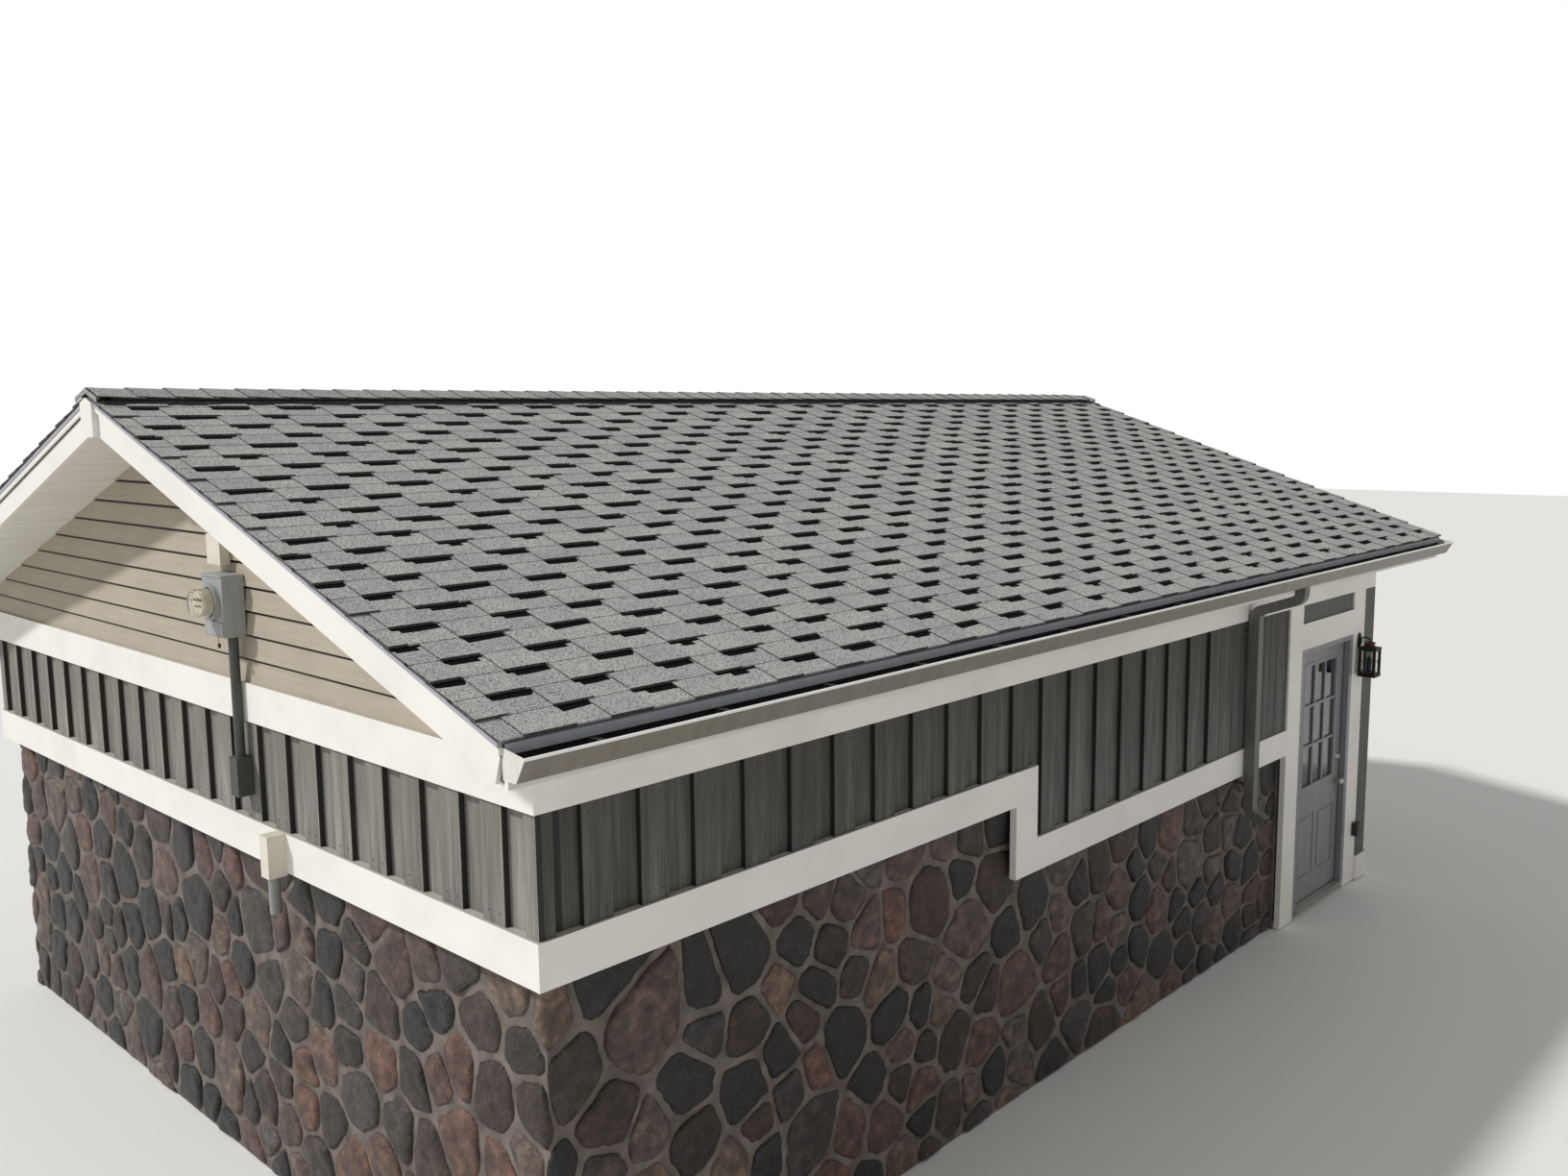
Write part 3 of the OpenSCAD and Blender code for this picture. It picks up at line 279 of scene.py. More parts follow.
# Lime and cement mortar or cast concrete: grey, sandy, with damp blotches
def mineralMaterial(name, light, dark, scale=6.0):
    material, add, place = newMaterial(name)
    blotch = add("TexNoise", {0: place, "Scale": scale, "Detail": 6.0})
    sand = add("TexNoise", {0: place, "Scale": 260.0, "Detail": 2.0})
    grey = add("Math", [sand, 0.4, blotch], operation="MULTIPLY_ADD")
    colour = add("ValToRGB", [grey], stops=[(0.45, dark), (0.9, light)])
    return finish(material, colour, sand, 0.0015, 0.88)


# Planed framing softwood and plywood: pale, with stretched rings and a few dark knots
def lumberMaterial(name, stretch, light="#c9ab7c", dark="#a37f4f"):
    material, add, place = newMaterial(name)
    fibre = add("Mapping", {0: place, "Scale": stretch})
    grain = add("TexNoise", {0: fibre, "Scale": 1.0, "Detail": 5.0, "Distortion": 0.6})
    ring = add("TexWave", {0: fibre, "Scale": 0.35, "Distortion": 9.0, "Detail": 2.0})
    both = add("Math", [ring.outputs["Fac"], 0.35, grain], operation="MULTIPLY_ADD")
    colour = add("ValToRGB", [both], stops=[(0.35, dark), (0.75, light)])
    knots = add("TexVoronoi", {0: place, "Scale": 2.6})
    spot = add("MapRange", [knots.outputs["Distance"], 0.035, 0.06, 0.8, 0.0])
    knotted = add("Mix", {0: spot, 6: colour, 7: "#5a3d22"}, data_type="RGBA")
    return finish(material, knotted, grain, 0.0006, 0.7)


# Coil-coated or plated sheet metal: smooth, faint dents, streaks of dust
def metalMaterial(name, colour, dust, metallic=0.0, roughness=0.4, amount=0.35):
    material, add, place = newMaterial(name)
    run = add("Mapping", {0: place, "Scale": (30.0, 30.0, 5.0)})
    film = add("TexNoise", {0: run, "Scale": 1.0, "Detail": 5.0})
    dent = add("TexNoise", {0: place, "Scale": 5.0, "Detail": 1.0})
    mask = add("MapRange", [film, 0.4, 0.75, 0.0, amount])
    mixed = add("Mix", {0: mask, 6: colour, 7: dust}, data_type="RGBA")
    rough = add("MapRange", {0: film, 3: roughness - 0.08, 4: roughness + 0.2})
    return finish(material, mixed, dent, 0.0004, rough, {"Metallic": metallic})


# Float glass: clear with a trace of green, thin dust
def glassMaterial(name, light, dull):
    material, add, place = newMaterial(name)
    film = add("TexNoise", {0: place, "Scale": 9.0, "Detail": 4.0})
    tint = add("ValToRGB", [film], stops=[(0.3, light), (0.8, dull)])
    rough = add("MapRange", {0: film, 3: 0.01, 4: 0.09})
    return finish(material, tint, None, 0, rough, {"IOR": 1.45, "Transmission Weight": 1.0})


boardsLong = boardMaterial("stainedBoardsLongWall", stainedBoards["long"], 0)
boardsGable = boardMaterial("weatheredBoardsGable", stainedBoards["gable"], 1)
trimWhite = paintMaterial("brushedTrimPaint", "#eeebe4", "#a8a49a", 0.5, (2.2, 2.2, 3.0), 0.22, 0.85)
soffitPaint = paintMaterial("satinSoffitPaint", "#e4e1d8", "#9b988f", 0.45, (3.0, 20.0, 3.0))
trimGrey = paintMaterial("stainedGreyTrim", "#62645f", "#44433f", 0.7, (60.0, 60.0, 3.0), 0.7)
doorPaint = paintMaterial("satinDoorPaint", "#84868a", "#66686a", 0.38, (8.0, 8.0, 3.0), 0.3)
lapPaint = lapMaterial(lapValues)
creamPlastic = paintMaterial("mouldedCreamPolymer", "#dcd8ca", "#a8a293", 0.4, (9.0, 9.0, 9.0))
ventPlastic = paintMaterial("matteVentPolymer", "#1b1b1c", "#3a3836", 0.6, (30.0, 30.0, 30.0))
concrete = mineralMaterial("castConcreteSlab", "#a5a29b", "#7d7a74")
mortar = mineralMaterial("limeMortar", "#7d746c", "#49423d", 9.0)
rafterWood = lumberMaterial("spruceRafters", (70.0, 3.0, 12.0))
plywood = lumberMaterial("plywoodSheathing", (3.0, 26.0, 26.0), "#c4a679", "#ab8a5c")
shingles = shingleMaterial("granuleShingles", "#b6b6b8", "#c5c6c1", "#d2d3c9")
capShingles = shingleMaterial("granuleRidgeCaps", "#b0b1b0", "#bec0b9", "#cbccc2")
fieldstone = stoneMaterial()
gutterCoat = gutterMaterial(gutterValues)
# near-black mineral colour for the gutters' backs and floors and the strips under the rake trim: painted
# shade with some grime
paintedShadeAndGrime = mineralMaterial("paintedShadeAndGrime", "#23211f", "#100f0e", 20.0)
endCapCoat = metalMaterial("coilCoatedEndCap", "#dfdcd4", "#b1ada3")
spoutCoat = metalMaterial("coilCoatedDownspout", "#5f5d58", "#8a877e", 0.0, 0.42)
slateMetal = metalMaterial("slatePaintedFlashing", "#a9adb5", "#8a8e96")
satinSteel = metalMaterial("brushedSatinSteel", "#c2c0ba", "#a09d96", 1.0, 0.32, 0.2)
millAluminium = metalMaterial("millAluminium", "#b9b8b3", "#a8a6a0", 0.9, 0.48, 0.1)
greyEnamel = metalMaterial("bakedGreyEnamel", "#9da09f", "#7d7e7b")
rustedIron = metalMaterial("rustedNailIron", "#4d3c31", "#2a2320", 0.4, 0.7)
conduitSteel = metalMaterial("weatheredConduitSteel", "#545550", "#3f403c", 0.4, 0.5)
agedCopper = metalMaterial("agedCopper", "#5b3f33", "#271f1b", 0.9, 0.45, 1.0)
darkBronze = metalMaterial("darkBronze", "#2b2320", "#4a3a32", 0.7, 0.5, 0.6)
glass = glassMaterial("floatGlass", "#eef5f1", "#d9e2dc")
meterGlass = glassMaterial("yellowedMeterGlass", "#fefdf8", "#faf6e8")


def tintWhere(material, axis, low, high, colour):
    # another colour where the object's coordinate on the axis lies between low and high
    tree = material.node_tree
    add = partial(addNode, tree)
    target = tree.nodes["Principled BSDF"].inputs["Base Color"]
    parts = add("SeparateXYZ", [tree.nodes["Texture Coordinate"].outputs["Object"]])
    inside = add("Math", [parts.outputs[axis], (low + high) / 2, (high - low) / 2], operation="COMPARE")
    mixed = add("Mix", {0: inside, 6: target.links[0].from_socket, 7: colour}, data_type="RGBA")
    tree.links.new(mixed.outputs[2], target)


tintWhere(creamPlastic, 0, 3.0, 5.0, "#1b1c1e")       # the outlet by the door is black
tintWhere(creamPlastic, 2, 1.55, 1.779, "#8b8c8a")    # the riser under the low box is grey
for axis, edge in ((0, 4.4), (1, 3.2)):               # the edges of the deck have weathered
    tintWhere(plywood, axis, edge, 6.0, "#6f6a62")
    tintWhere(plywood, axis, -6.0, -edge, "#6f6a62")

for material, names in (
        (boardsLong, "boards_front boards_back wall_front wall_back wall_over_door wall_corner"),
        (boardsGable, "boards_gables wall_near wall_lake_sides wall_lake_gable"),
        (trimWhite, "frieze_boards belly_bands skirt_front skirt_back skirt_gables corner_plinths"),
        (trimWhite, "door_casing boat_door_casing rake_boards peak_blocks fascia_boards"),
        (soffitPaint, "rake_soffits eave_soffits"),
        (trimGrey, "corner_boards transom_panel"),
        (doorPaint, "door_frame door_leaf door_bars boat_door boat_door_frame"),
        (rafterWood, "rafters ridge_board rafter_ties"),
        (paintedShadeAndGrime, "gutter_backs gutter_floors"),
        (satinSteel, "hinge_pins door_hinges door_lock door_knob"),
        (lapPaint, "lap_siding"), (creamPlastic, "service_boxes"), (ventPlastic, "ridge_vent"),
        (concrete, "floor_slab"), (plywood, "roof_deck"), (gutterCoat, "gutter_faces"),
        (endCapCoat, "gutter_ends"), (spoutCoat, "downspouts"), (slateMetal, "drip_edges"),
        (millAluminium, "door_sill"), (greyEnamel, "meter_socket"), (conduitSteel, "conduit"),
        (glass, "door_glass")):
    for name in names.split():
        for materialSlot in nodes[name].material_slots:
            materialSlot.material = material
print("boathouse: materials on the solids")


# Shape helpers: each shape is a list of points and a list of faces
def box(low, high):
    points = [(x, y, z) for z in (low[2], high[2]) for y in (low[1], high[1]) for x in (low[0], high[0])]
    return points, [(4, 5, 7, 6), (0, 2, 3, 1), (0, 1, 5, 4), (2, 6, 7, 3), (0, 4, 6, 2), (1, 3, 7, 5)]


def skin(rings, loop=False):
    count = len(rings[0])
    points = [tuple(point) for ring in rings for point in ring]
    faces = []
    for k in range(len(rings) if loop else len(rings) - 1):
        a, b = k * count, (k + 1) % len(rings) * count
        faces += [(a + i, a + (i + 1) % count, b + (i + 1) % count, b + i) for i in range(count)]
    if not loop:
        last = (len(rings) - 1) * count
        faces += [tuple(range(count - 1, -1, -1)), tuple(range(last, last + count))]
    return points, faces


def lathe(centre, axis, profile, sides=24, loop=False):
    # profile holds (radius, distance along the axis) pairs
    rings = []
    for radius, height in profile:
        ring = []
        for i in range(sides):
            a, b = (radius * f(2 * math.pi * (i + 0.5) / sides) for f in (math.cos, math.sin))
            spot = {"X": (height, a, b), "Y": (b, height, a), "Z": (a, b, height)}[axis]
            ring.append([c + d for c, d in zip(centre, spot)])
        rings.append(ring)
    return skin(rings, loop)


def tube(path, radius, side, sides=10):
    # side is a direction square to the plane of the path
    rings, up, turns = [], Vector(side), [2 * math.pi * i / sides for i in range(sides)]
    for k, spot in enumerate(path):
        along = (Vector(path[min(k + 1, len(path) - 1)]) - Vector(path[max(k - 1, 0)])).normalized()
        across = along.cross(up)
        rings.append([Vector(spot) + radius * (math.cos(t) * up + math.sin(t) * across) for t in turns])
    return skin(rings)


def joinShapes(name, *shapes):
    # every shape is turned so that its faces look outward
    points, faces = [], []
    for shapePoints, shapeFaces in shapes:
        volume = sum(Vector(shapePoints[face[0]]).dot(Vector(shapePoints[a]).cross(Vector(shapePoints[b])))
                     for face in shapeFaces for a, b in zip(face[1:], face[2:]))
        first = len(points)
        points += shapePoints
        faces += [tuple(first + i for i in (face if volume > 0 else face[::-1])) for face in shapeFaces]
    return meshFrom(name, points, faces)


def smooth(piece, angle=35):
    piece.data.polygons.foreach_set("use_smooth", [True] * len(piece.data.polygons))
    piece.data.set_sharp_from_angle(angle=math.radians(angle))


def makeShape(name, material, slot, *shapes):
    # a fixed piece of the building from one or more shapes
    return makePiece(name, joinShapes(name, *shapes), material)


# Geometry Nodes helpers
def newTree(name, **sockets):
    # sockets gives the names of the inputs of each kind, with commas between them
    tree = bpy.data.node_groups.new(name, "GeometryNodeTree")
    tree.interface.new_socket("Geometry", in_out="OUTPUT", socket_type="NodeSocketGeometry")
    for kind, labels in sockets.items():
        for label in labels.split(", "):
            tree.interface.new_socket(label, in_out="INPUT", socket_type="NodeSocket" + kind)
    add = partial(addNode, tree)
    return tree, add, add("NodeGroupInput").outputs


def toneCopies(add, index, seed, cloud, spot, settings):
    # puts a copy at every spot, each with a tone from 0 to 1 for its material
    placed = add("GeometryNodeSetPosition", {"Geometry": cloud, "Position": spot})
    copies = add("GeometryNodeInstanceOnPoints", {"Points": placed, **settings})
    chance = add("FunctionNodeRandomValue", {2: 0.0, 3: 1.0, "ID": index, "Seed": seed}, data_type="FLOAT")
    return add("GeometryNodeStoreNamedAttribute", {"Geometry": copies, "Name": "tone", "Value": chance},
               data_type="FLOAT", domain="INSTANCE")


def closeTree(add, source, geometry):
    # turns the copies, makes them real and gives them the material
    spin = add("CombineXYZ", {2: source["Turn"]})
    moved = add("GeometryNodeTransform", {"Geometry": geometry, "Rotation": spin})
    real = add("GeometryNodeRealizeInstances", [moved])
    dressed = add("GeometryNodeSetMaterial", {"Geometry": real, "Material": source["Material"]})
    add("NodeGroupOutput", [dressed])


def growPiece(name, tree, values, material):
    # sets the inputs by their sockets' identifiers and keeps the evaluated mesh as a plain piece
    values["Material"] = material
    host = addObject(name + "Host", bpy.data.meshes.new(name + "Host"))
    modifier = host.modifiers.new("grow", "NODES")
    modifier.node_group = tree
    for item in tree.interface.items_tree:
        if item.in_out == "INPUT":
            modifier[item.identifier] = values[item.name]
    graph = bpy.context.evaluated_depsgraph_get()
    mesh = bpy.data.meshes.new_from_object(host.evaluated_get(graph))
    mesh.name = name
    host.modifiers.clear()
    bpy.data.objects.remove(host)
    return makePiece(name, mesh, material)


hidden = []  # shapes for instancing only, removed at the end


def hiddenObject(name, mesh):
    hidden.append(bpy.data.objects.new(name, mesh))
    return hidden[-1]


# Laminated shingles: in every course thick tabs alternate with thin ones, half a pair further on in the next
shingleValues = {
    "courses": 25, "pairs": 26, "firstY": 0.19277, "run": 0.135087, "drop": 0.00762,
    "pair": 0.40, "jitter": 0.034, "tabThick": 0.0130, "tabStep": 0.0050,
    "reach": 0.172, "band": 0.98, "bandThick": 0.0006, "bandLift": 0.0007, "seedFront": 3, "seedBack": 11,
}


def plateMesh(name, top, bottom, reach, front):
    points, faces = box((0.0, 0.0, bottom), (1.0, reach, top))
    return meshFrom(name, points, faces, ink=[0.0, 0.8, front, 0.8, 0.8, 0.8])


def bandMesh(name, outline, top):
    # the black band under the tab above: the printed shadow band, its height and thin tails a painted shadow
    # of the tab's lower edge; an outline of (x, distance down the slope) pairs
    count = len(outline)
    points = [(x, shingleValues["run"] * 1.06 - y * shingleValues["band"], z)
              for z in (top - shingleValues["bandThick"], top) for x, y in outline]
    faces = [tuple(range(2 * count - 1, count - 1, -1)), tuple(range(count))]
    faces += [(i, i + count, (i + 1) % count + count, (i + 1) % count) for i in range(count)]
    return meshFrom(name, points, faces, ink=[1.0] * len(faces))


def shingleTree():
    tree, add, source = newTree(
        "laminatedShingles", Int="Courses, Pairs, Seed", Object="Thick Tab, Thin Tab", Collection="Bands",
        Float="First, Run, Pair, Jitter, Half Length, Ridge, Rise, Tilt, Turn", Material="Material")
    total = add("Math", [source["Courses"], source["Pairs"]], operation="MULTIPLY")
    cloud = add("GeometryNodePoints", {"Count": total})
    index = add("GeometryNodeInputIndex")
    share = add("Math", [index, source["Pairs"]], operation="DIVIDE")
    row = add("Math", [share], operation="FLOOR")
    column = add("Math", [index, source["Pairs"]], operation="FLOORED_MODULO")
    odd = add("Math", [row, 2.0], operation="FLOORED_MODULO")
    place = add("Math", [column, 2.0, odd], operation="MULTIPLY_ADD")
    halfPair = add("Math", [source["Pair"], 0.5], operation="MULTIPLY")
    low = add("Math", [source["Jitter"], -1.0], operation="MULTIPLY")
    start = add("Math", [source["Half Length"], -1.0, -0.3], operation="MULTIPLY_ADD")
    edges = []
    # thin tab from edge 0 to 1, thick tab from edge 1 to 2; outer edges are shared with the course above
    for back, step in ((1.0, -1.0), (0.0, 0.0), (1.0, 1.0)):
        line = add("Math", [row, back], operation="SUBTRACT")
        spot = add("Math", [place, step], operation="ADD")
        key = add("Math", [line, 400.0, spot], operation="MULTIPLY_ADD")
        chance = add("FunctionNodeRandomValue", {2: low, 3: source["Jitter"], "ID": key,
                "Seed": source["Seed"]}, data_type="FLOAT")
        plain = add("Math", [spot, halfPair, start], operation="MULTIPLY_ADD")
        moved = add("Math", [plain, chance], operation="ADD")
        negative = add("Math", [source["Half Length"], -1.0], operation="MULTIPLY")
        edges.append(add("Clamp", [moved, negative, source["Half Length"]]))
    away = add("Math", [row, source["Run"], source["First"]], operation="MULTIPLY_ADD")
    y = add("Math", [away, -1.0], operation="MULTIPLY")
    fall = add("Math", [away, source["Rise"]], operation="MULTIPLY")
    z = add("Math", [source["Ridge"], fall], operation="SUBTRACT")
    turned = add("CombineXYZ", [source["Tilt"]])
    bands = add("GeometryNodeCollectionInfo", [source["Bands"], True, True])
    thick, thin = (add("GeometryNodeObjectInfo", [source[name], True]).outputs["Geometry"]
                   for name in ("Thick Tab", "Thin Tab"))
    join = add("GeometryNodeJoinGeometry")
    for shape, left, right, salt in ((thin, 0, 1, 17), (bands, 0, 1, 31), (thick, 1, 2, 53)):
        width = add("Math", [edges[right], edges[left]], operation="SUBTRACT")
        keep = add("FunctionNodeCompare", [width, 0.02 if salt != 31 else 0.1], data_type="FLOAT",
                   operation="GREATER_THAN")
        spot = add("CombineXYZ", [edges[left], y, z])
        size = add("CombineXYZ", [width, 1.0, 1.0])
        settings = {"Selection": keep, "Instance": shape, "Rotation": turned, "Scale": size}
        if salt == 31:
            pick = add("FunctionNodeRandomValue", {4: 0, 5: 6, "ID": index, "Seed": salt}, data_type="INT")
            settings.update({"Pick Instance": True, "Instance Index": pick})
        marked = toneCopies(add, index, salt, cloud, spot, settings)
        tree.links.new(marked.outputs[0], join.inputs[0])
    closeTree(add, source, join)
    return tree


# black band outlines: a main block for the printed shadow band and thin tails that are a painted shadow of
# the tab above
bandOutlines = [
    [(0, 0), (1, 0), (1, 0.030), (0.86, 0.031), (0.86, 0.046), (0.24, 0.045), (0.24, 0.016), (0, 0.014)],
    [(0, 0), (0.98, 0), (0.98, 0.016), (0.84, 0.018), (0.84, 0.044), (0.1, 0.043), (0.1, 0.028), (0, 0.026)],
    [(0.04, 0), (1, 0), (1, 0.046), (0.3, 0.044), (0.3, 0.018), (0.04, 0.015)],
    [(0, 0), (1, 0), (1, 0.018), (0.74, 0.019), (0.74, 0.047), (0.34, 0.046), (0.34, 0.018), (0, 0.016)],
    [(0.08, 0), (0.98, 0), (0.98, 0.034), (0.08, 0.046)],
    [(0, 0), (0.95, 0), (0.95, 0.040), (0.5, 0.047), (0.16, 0.045), (0.16, 0.020), (0, 0.016)],
    [(0.02, 0), (1, 0), (1, 0.020), (0.9, 0.044), (0.2, 0.040), (0.02, 0.036)],
]


def buildShingles(values):
    top, thin, thick, reach = 0.0, -values["tabStep"], -values["tabThick"], values["reach"]
    bands = bpy.data.collections.new("shadowBands")
    for number, outline in enumerate(bandOutlines):
        name = f"band{number}"
        bands.objects.link(hiddenObject(name, bandMesh(name, outline, thin + values["bandLift"])))
    thickTab = hiddenObject("thickTab", plateMesh("thickTab", top, thick, reach, 0.8))
    thinTab = hiddenObject("thinTab", plateMesh("thinTab", thin, thick, reach, 0.05))
    tree = shingleTree()
    for side, turn, seed in (("Front", 0.0, values["seedFront"]), ("Back", math.pi, values["seedBack"])):
        slope = growPiece("shingles" + side, tree, {
            "Courses": values["courses"], "Pairs": values["pairs"], "First": values["firstY"],
            "Run": values["run"], "Pair": values["pair"], "Jitter": values["jitter"],
            "Half Length": house["roofHalf"], "Ridge": house["ridgeZ"], "Rise": house["rise"],
            "Tilt": math.atan(house["rise"] - values["drop"] / values["run"]), "Turn": turn, "Seed": seed,
            "Thick Tab": thickTab, "Thin Tab": thinTab, "Bands": bands}, shingles)
        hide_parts("shingles_" + side.lower())
        print("boathouse: shingles", side.lower(), len(slope.data.polygons), "faces")
    bpy.data.collections.remove(bands)


buildShingles(shingleValues)


# Fieldstones: irregular cells over the unrolled stonework, front wall then gable then back wall
stoneValues = {
    "spacing": 0.245, "sizes": (0.34, 0.42, 0.5, 0.5, 0.62, 0.72), "joint": 0.021, "depth": 0.042,
    "recess": 0.029, "bend": 0.046, "round": 0.15, "ring": 26, "wobble": 0.13, "rough": 0.0075,
    "bulge": (0.66, 0.92), "tilt": 0.05, "reach": 0.3, "foot": 0.004, "edge": 0.001, "leastHeight": 0.03,
    "leastAround": 0.2, "tries": 26000, "seed": 29,
    # share of the outline and of the height at each ring of a stone, from the mortar to the crown
    "profile": [(1, 0), (0.99, 0.38), (0.955, 0.64), (0.87, 0.83), (0.7, 0.94), (0.46, 0.99), (0.22, 1)],
}


def between(a, b, t):
    return (a[0] + t * (b[0] - a[0]), a[1] + t * (b[1] - a[1]))


def clipCell(cell, normal, limit):
    # keeps the part of a convex outline where the point times the normal is at most the limit
    kept = []
    for i, a in enumerate(cell):
        b = cell[(i + 1) % len(cell)]
        da = a[0] * normal[0] + a[1] * normal[1] - limit
        db = b[0] * normal[0] + b[1] * normal[1] - limit
        if da <= 0:
            kept.append(a)
        if (da < 0) != (db < 0) and da != db:
            kept.append(between(a, b, da / (da - db)))
    return kept


def unroll(u, z, out):
    # u runs along the front wall from the bay to the gable, across the gable, and back along the far wall;
    # stones that wrap a corner follow a small radius
    x, y, frontLen = house["stoneX"], house["stoneY"], house["bayX"] - house["stoneX"]
    bend = stoneValues["bend"]
    side = -1 if u < frontLen + y else 1
    away = frontLen - u if side < 0 else u - frontLen - 2 * y
    if away > bend:
        return (x + away, side * (y + out), z)
    if away < -bend:
        return (x - out, side * (y + away), z)
    angle = (away / bend + 1) * math.pi / 4
    reach = bend + out
    return (x + bend - math.cos(angle) * reach, side * (y - bend + math.sin(angle) * reach), z)


def laySeeds(values, chance, total):
    # a seed (place along the wall, height, size) for each stone, as far apart as their sizes ask
    seeds, widest = [], 2 * values["spacing"] * max(values["sizes"])
    for _ in range(values["tries"]):
        u, z = chance.uniform(0, total), chance.uniform(0, house["stoneTop"])
        size = values["spacing"] * chance.choice(values["sizes"])
        near = [s for s in seeds if abs(s[0] - u) < widest and abs(s[1] - z) < widest]
        if all((s[0] - u) ** 2 + (s[1] - z) ** 2 > (s[2] + size) ** 2 for s in near):
            seeds.append((u, z, size))
    return seeds


def stoneCell(values, seed, top, laid, total, stepLen):
    # the part of the wall nearer to this seed than to the others, less half a joint
    u, z, size = seed
    reach, foot, edge = values["reach"], values["foot"], values["edge"]
    cell = [(u - reach, foot), (u + reach, foot), (u + reach, top), (u - reach, top)]
    cell = clipCell(clipCell(cell, (-1, 0), -edge), (1, 0), total - edge)
    for (a, b, other), _ in laid:
        if (a, b) == (u, z) or abs(a - u) > 2 * reach or abs(b - z) > 2 * reach:
            continue
        length = math.hypot(a - u, b - z)
        half = (length * length + size * size - other * other) / (2 * length) - values["joint"] / 2
        normal = ((a - u) / length, (b - z) / length)
        cell = clipCell(cell, normal, normal[0] * u + normal[1] * z + half)
        if len(cell) < 3:
            return []
    if max(b for a, b in cell) > house["stoneTopLow"]:
        cell = clipCell(clipCell(cell, (-1, 0), -stepLen), (1, 0), total - stepLen)
    return cell if len(cell) > 2 else []


def ringPoints(cell, ring):
    # evenly spaced points along the outline; none on a stone that is too small
    lengths = [math.dist(a, b) for a, b in zip(cell, cell[1:] + cell[:1])]
    around = sum(lengths)
    if around < stoneValues["leastAround"]:
        return []
    outline, i, walked = [], 0, 0.0
    for step in range(ring):
        goal = around * step / ring
        while walked + lengths[i] < goal:
            walked += lengths[i]
            i += 1
        outline.append(between(cell[i], cell[(i + 1) % len(cell)], (goal - walked) / lengths[i]))
    return outline


def fieldstoneMesh(values):
    chance = random.Random(values["seed"])
    frontLen = house["bayX"] - house["stoneX"]
    total = 2 * frontLen + 2 * house["stoneY"]
    stepLen = house["bayX"] - house["stepX"]
    ring, deep = values["ring"], values["depth"]
    pairs = [(i, (i + 1) % ring) for i in range(ring)]
    points, faces, kinds, laid = [], [], [], []
    for seed in laySeeds(values, chance, total):
        top = house["stoneTopLow"] if seed[0] < stepLen or seed[0] > total - stepLen else house["stoneTop"]
        if seed[1] <= top - values["leastHeight"]:
            laid.append((seed, top))
    for seed, top in laid:
        cell = stoneCell(values, seed, top, laid, total, stepLen)
        for _ in range(2):  # two rounds of corner cutting round the stone off
            cell = [between(a, b, t) for a, b in zip(cell, cell[1:] + cell[:1])
                    for t in (values["round"], 1 - values["round"])]
        outline = ringPoints(cell, ring)
        if not outline:
            continue
        middle = [sum(spot[k] for spot in outline) / ring for k in (0, 1)]
        # knocked edges: the outline only ever shrinks, so stones never touch
        outline = [between(middle, (u, z), 1 - values["wobble"] * abs(
            noise.fractal(Vector((u * 17, z * 17, 7.0)), 0.8, 2.0, 3))) for u, z in outline]
        bulge = deep * chance.uniform(*values["bulge"])
        tilt = [chance.uniform(-values["tilt"], values["tilt"]) for _ in range(2)]
        first = len(points)
        for scale, lift in values["profile"]:
            for spot in outline:
                u, z = between(middle, spot, scale)
                rough = noise.fractal(Vector((u * 13, z * 13, first * 0.37)), 0.85, 2.2, 4) * values["rough"]
                lean = (u - middle[0]) * tilt[0] + (z - middle[1]) * tilt[1]
                points.append(unroll(u, z, min((bulge + rough + lean) * lift, deep) - deep))
        points.append(unroll(*middle, min(bulge, deep) - deep))
        last = len(points) - 1 - ring
        for a in range(first, last, ring):
            faces += [(a + i, a + ring + i, a + ring + j, a + j) for i, j in pairs]
        faces += [(last + i, last + ring, last + j) for i, j in pairs]
        faces.append(tuple(range(first, first + ring)))
        kinds += [chance.random()] * (len(faces) - len(kinds))
    mesh = meshFrom("fieldstones", points, faces, kind=kinds)
    mesh.polygons.foreach_set("use_smooth", [True] * len(faces))
    return mesh


# The mortar behind the stones: a block across the gable, and on each side a high, a low and an end block
recess, stoneX, stoneY, deep = stoneValues["recess"], house["stoneX"], house["stoneY"], house["wallDepth"]
stepX, bayX, high, low = house["stepX"], house["bayX"], house["stoneTop"], house["stoneTopLow"]
mortarBlocks = [box((stoneX + recess, -stoneY + recess, 0.0), (stoneX + deep, stoneY - recess, high))]
for side in (-1, 1):
    for start, end, top, inset in ((stoneX + deep, stepX, high, recess), (stepX, bayX - 0.012, low, recess),
                                   (bayX - 0.012, bayX, low, 0.004)):
        ys = sorted((side * (stoneY - inset), side * (stoneY - deep)))
        mortarBlocks.append(box((start, ys[0], 0.0), (end, ys[1], top)))
mortarCore = makeShape("mortarCore", mortar, "concrete", *mortarBlocks)
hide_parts("foundation_near", "foundation_sides")
stones = makePiece("fieldstones", fieldstoneMesh(stoneValues), fieldstone)
print("boathouse: fieldstones", len(stones.data.polygons), "faces")


# Ridge caps: short folded shingles lapped along the ridge
capValues = {"count": 50, "pitch": 0.18788, "length": 0.228, "width": 0.1415, "thick": 0.0042, "lift": 0.0086,
             "fold": 0.014, "sink": 0.0055, "skew": 0.035}


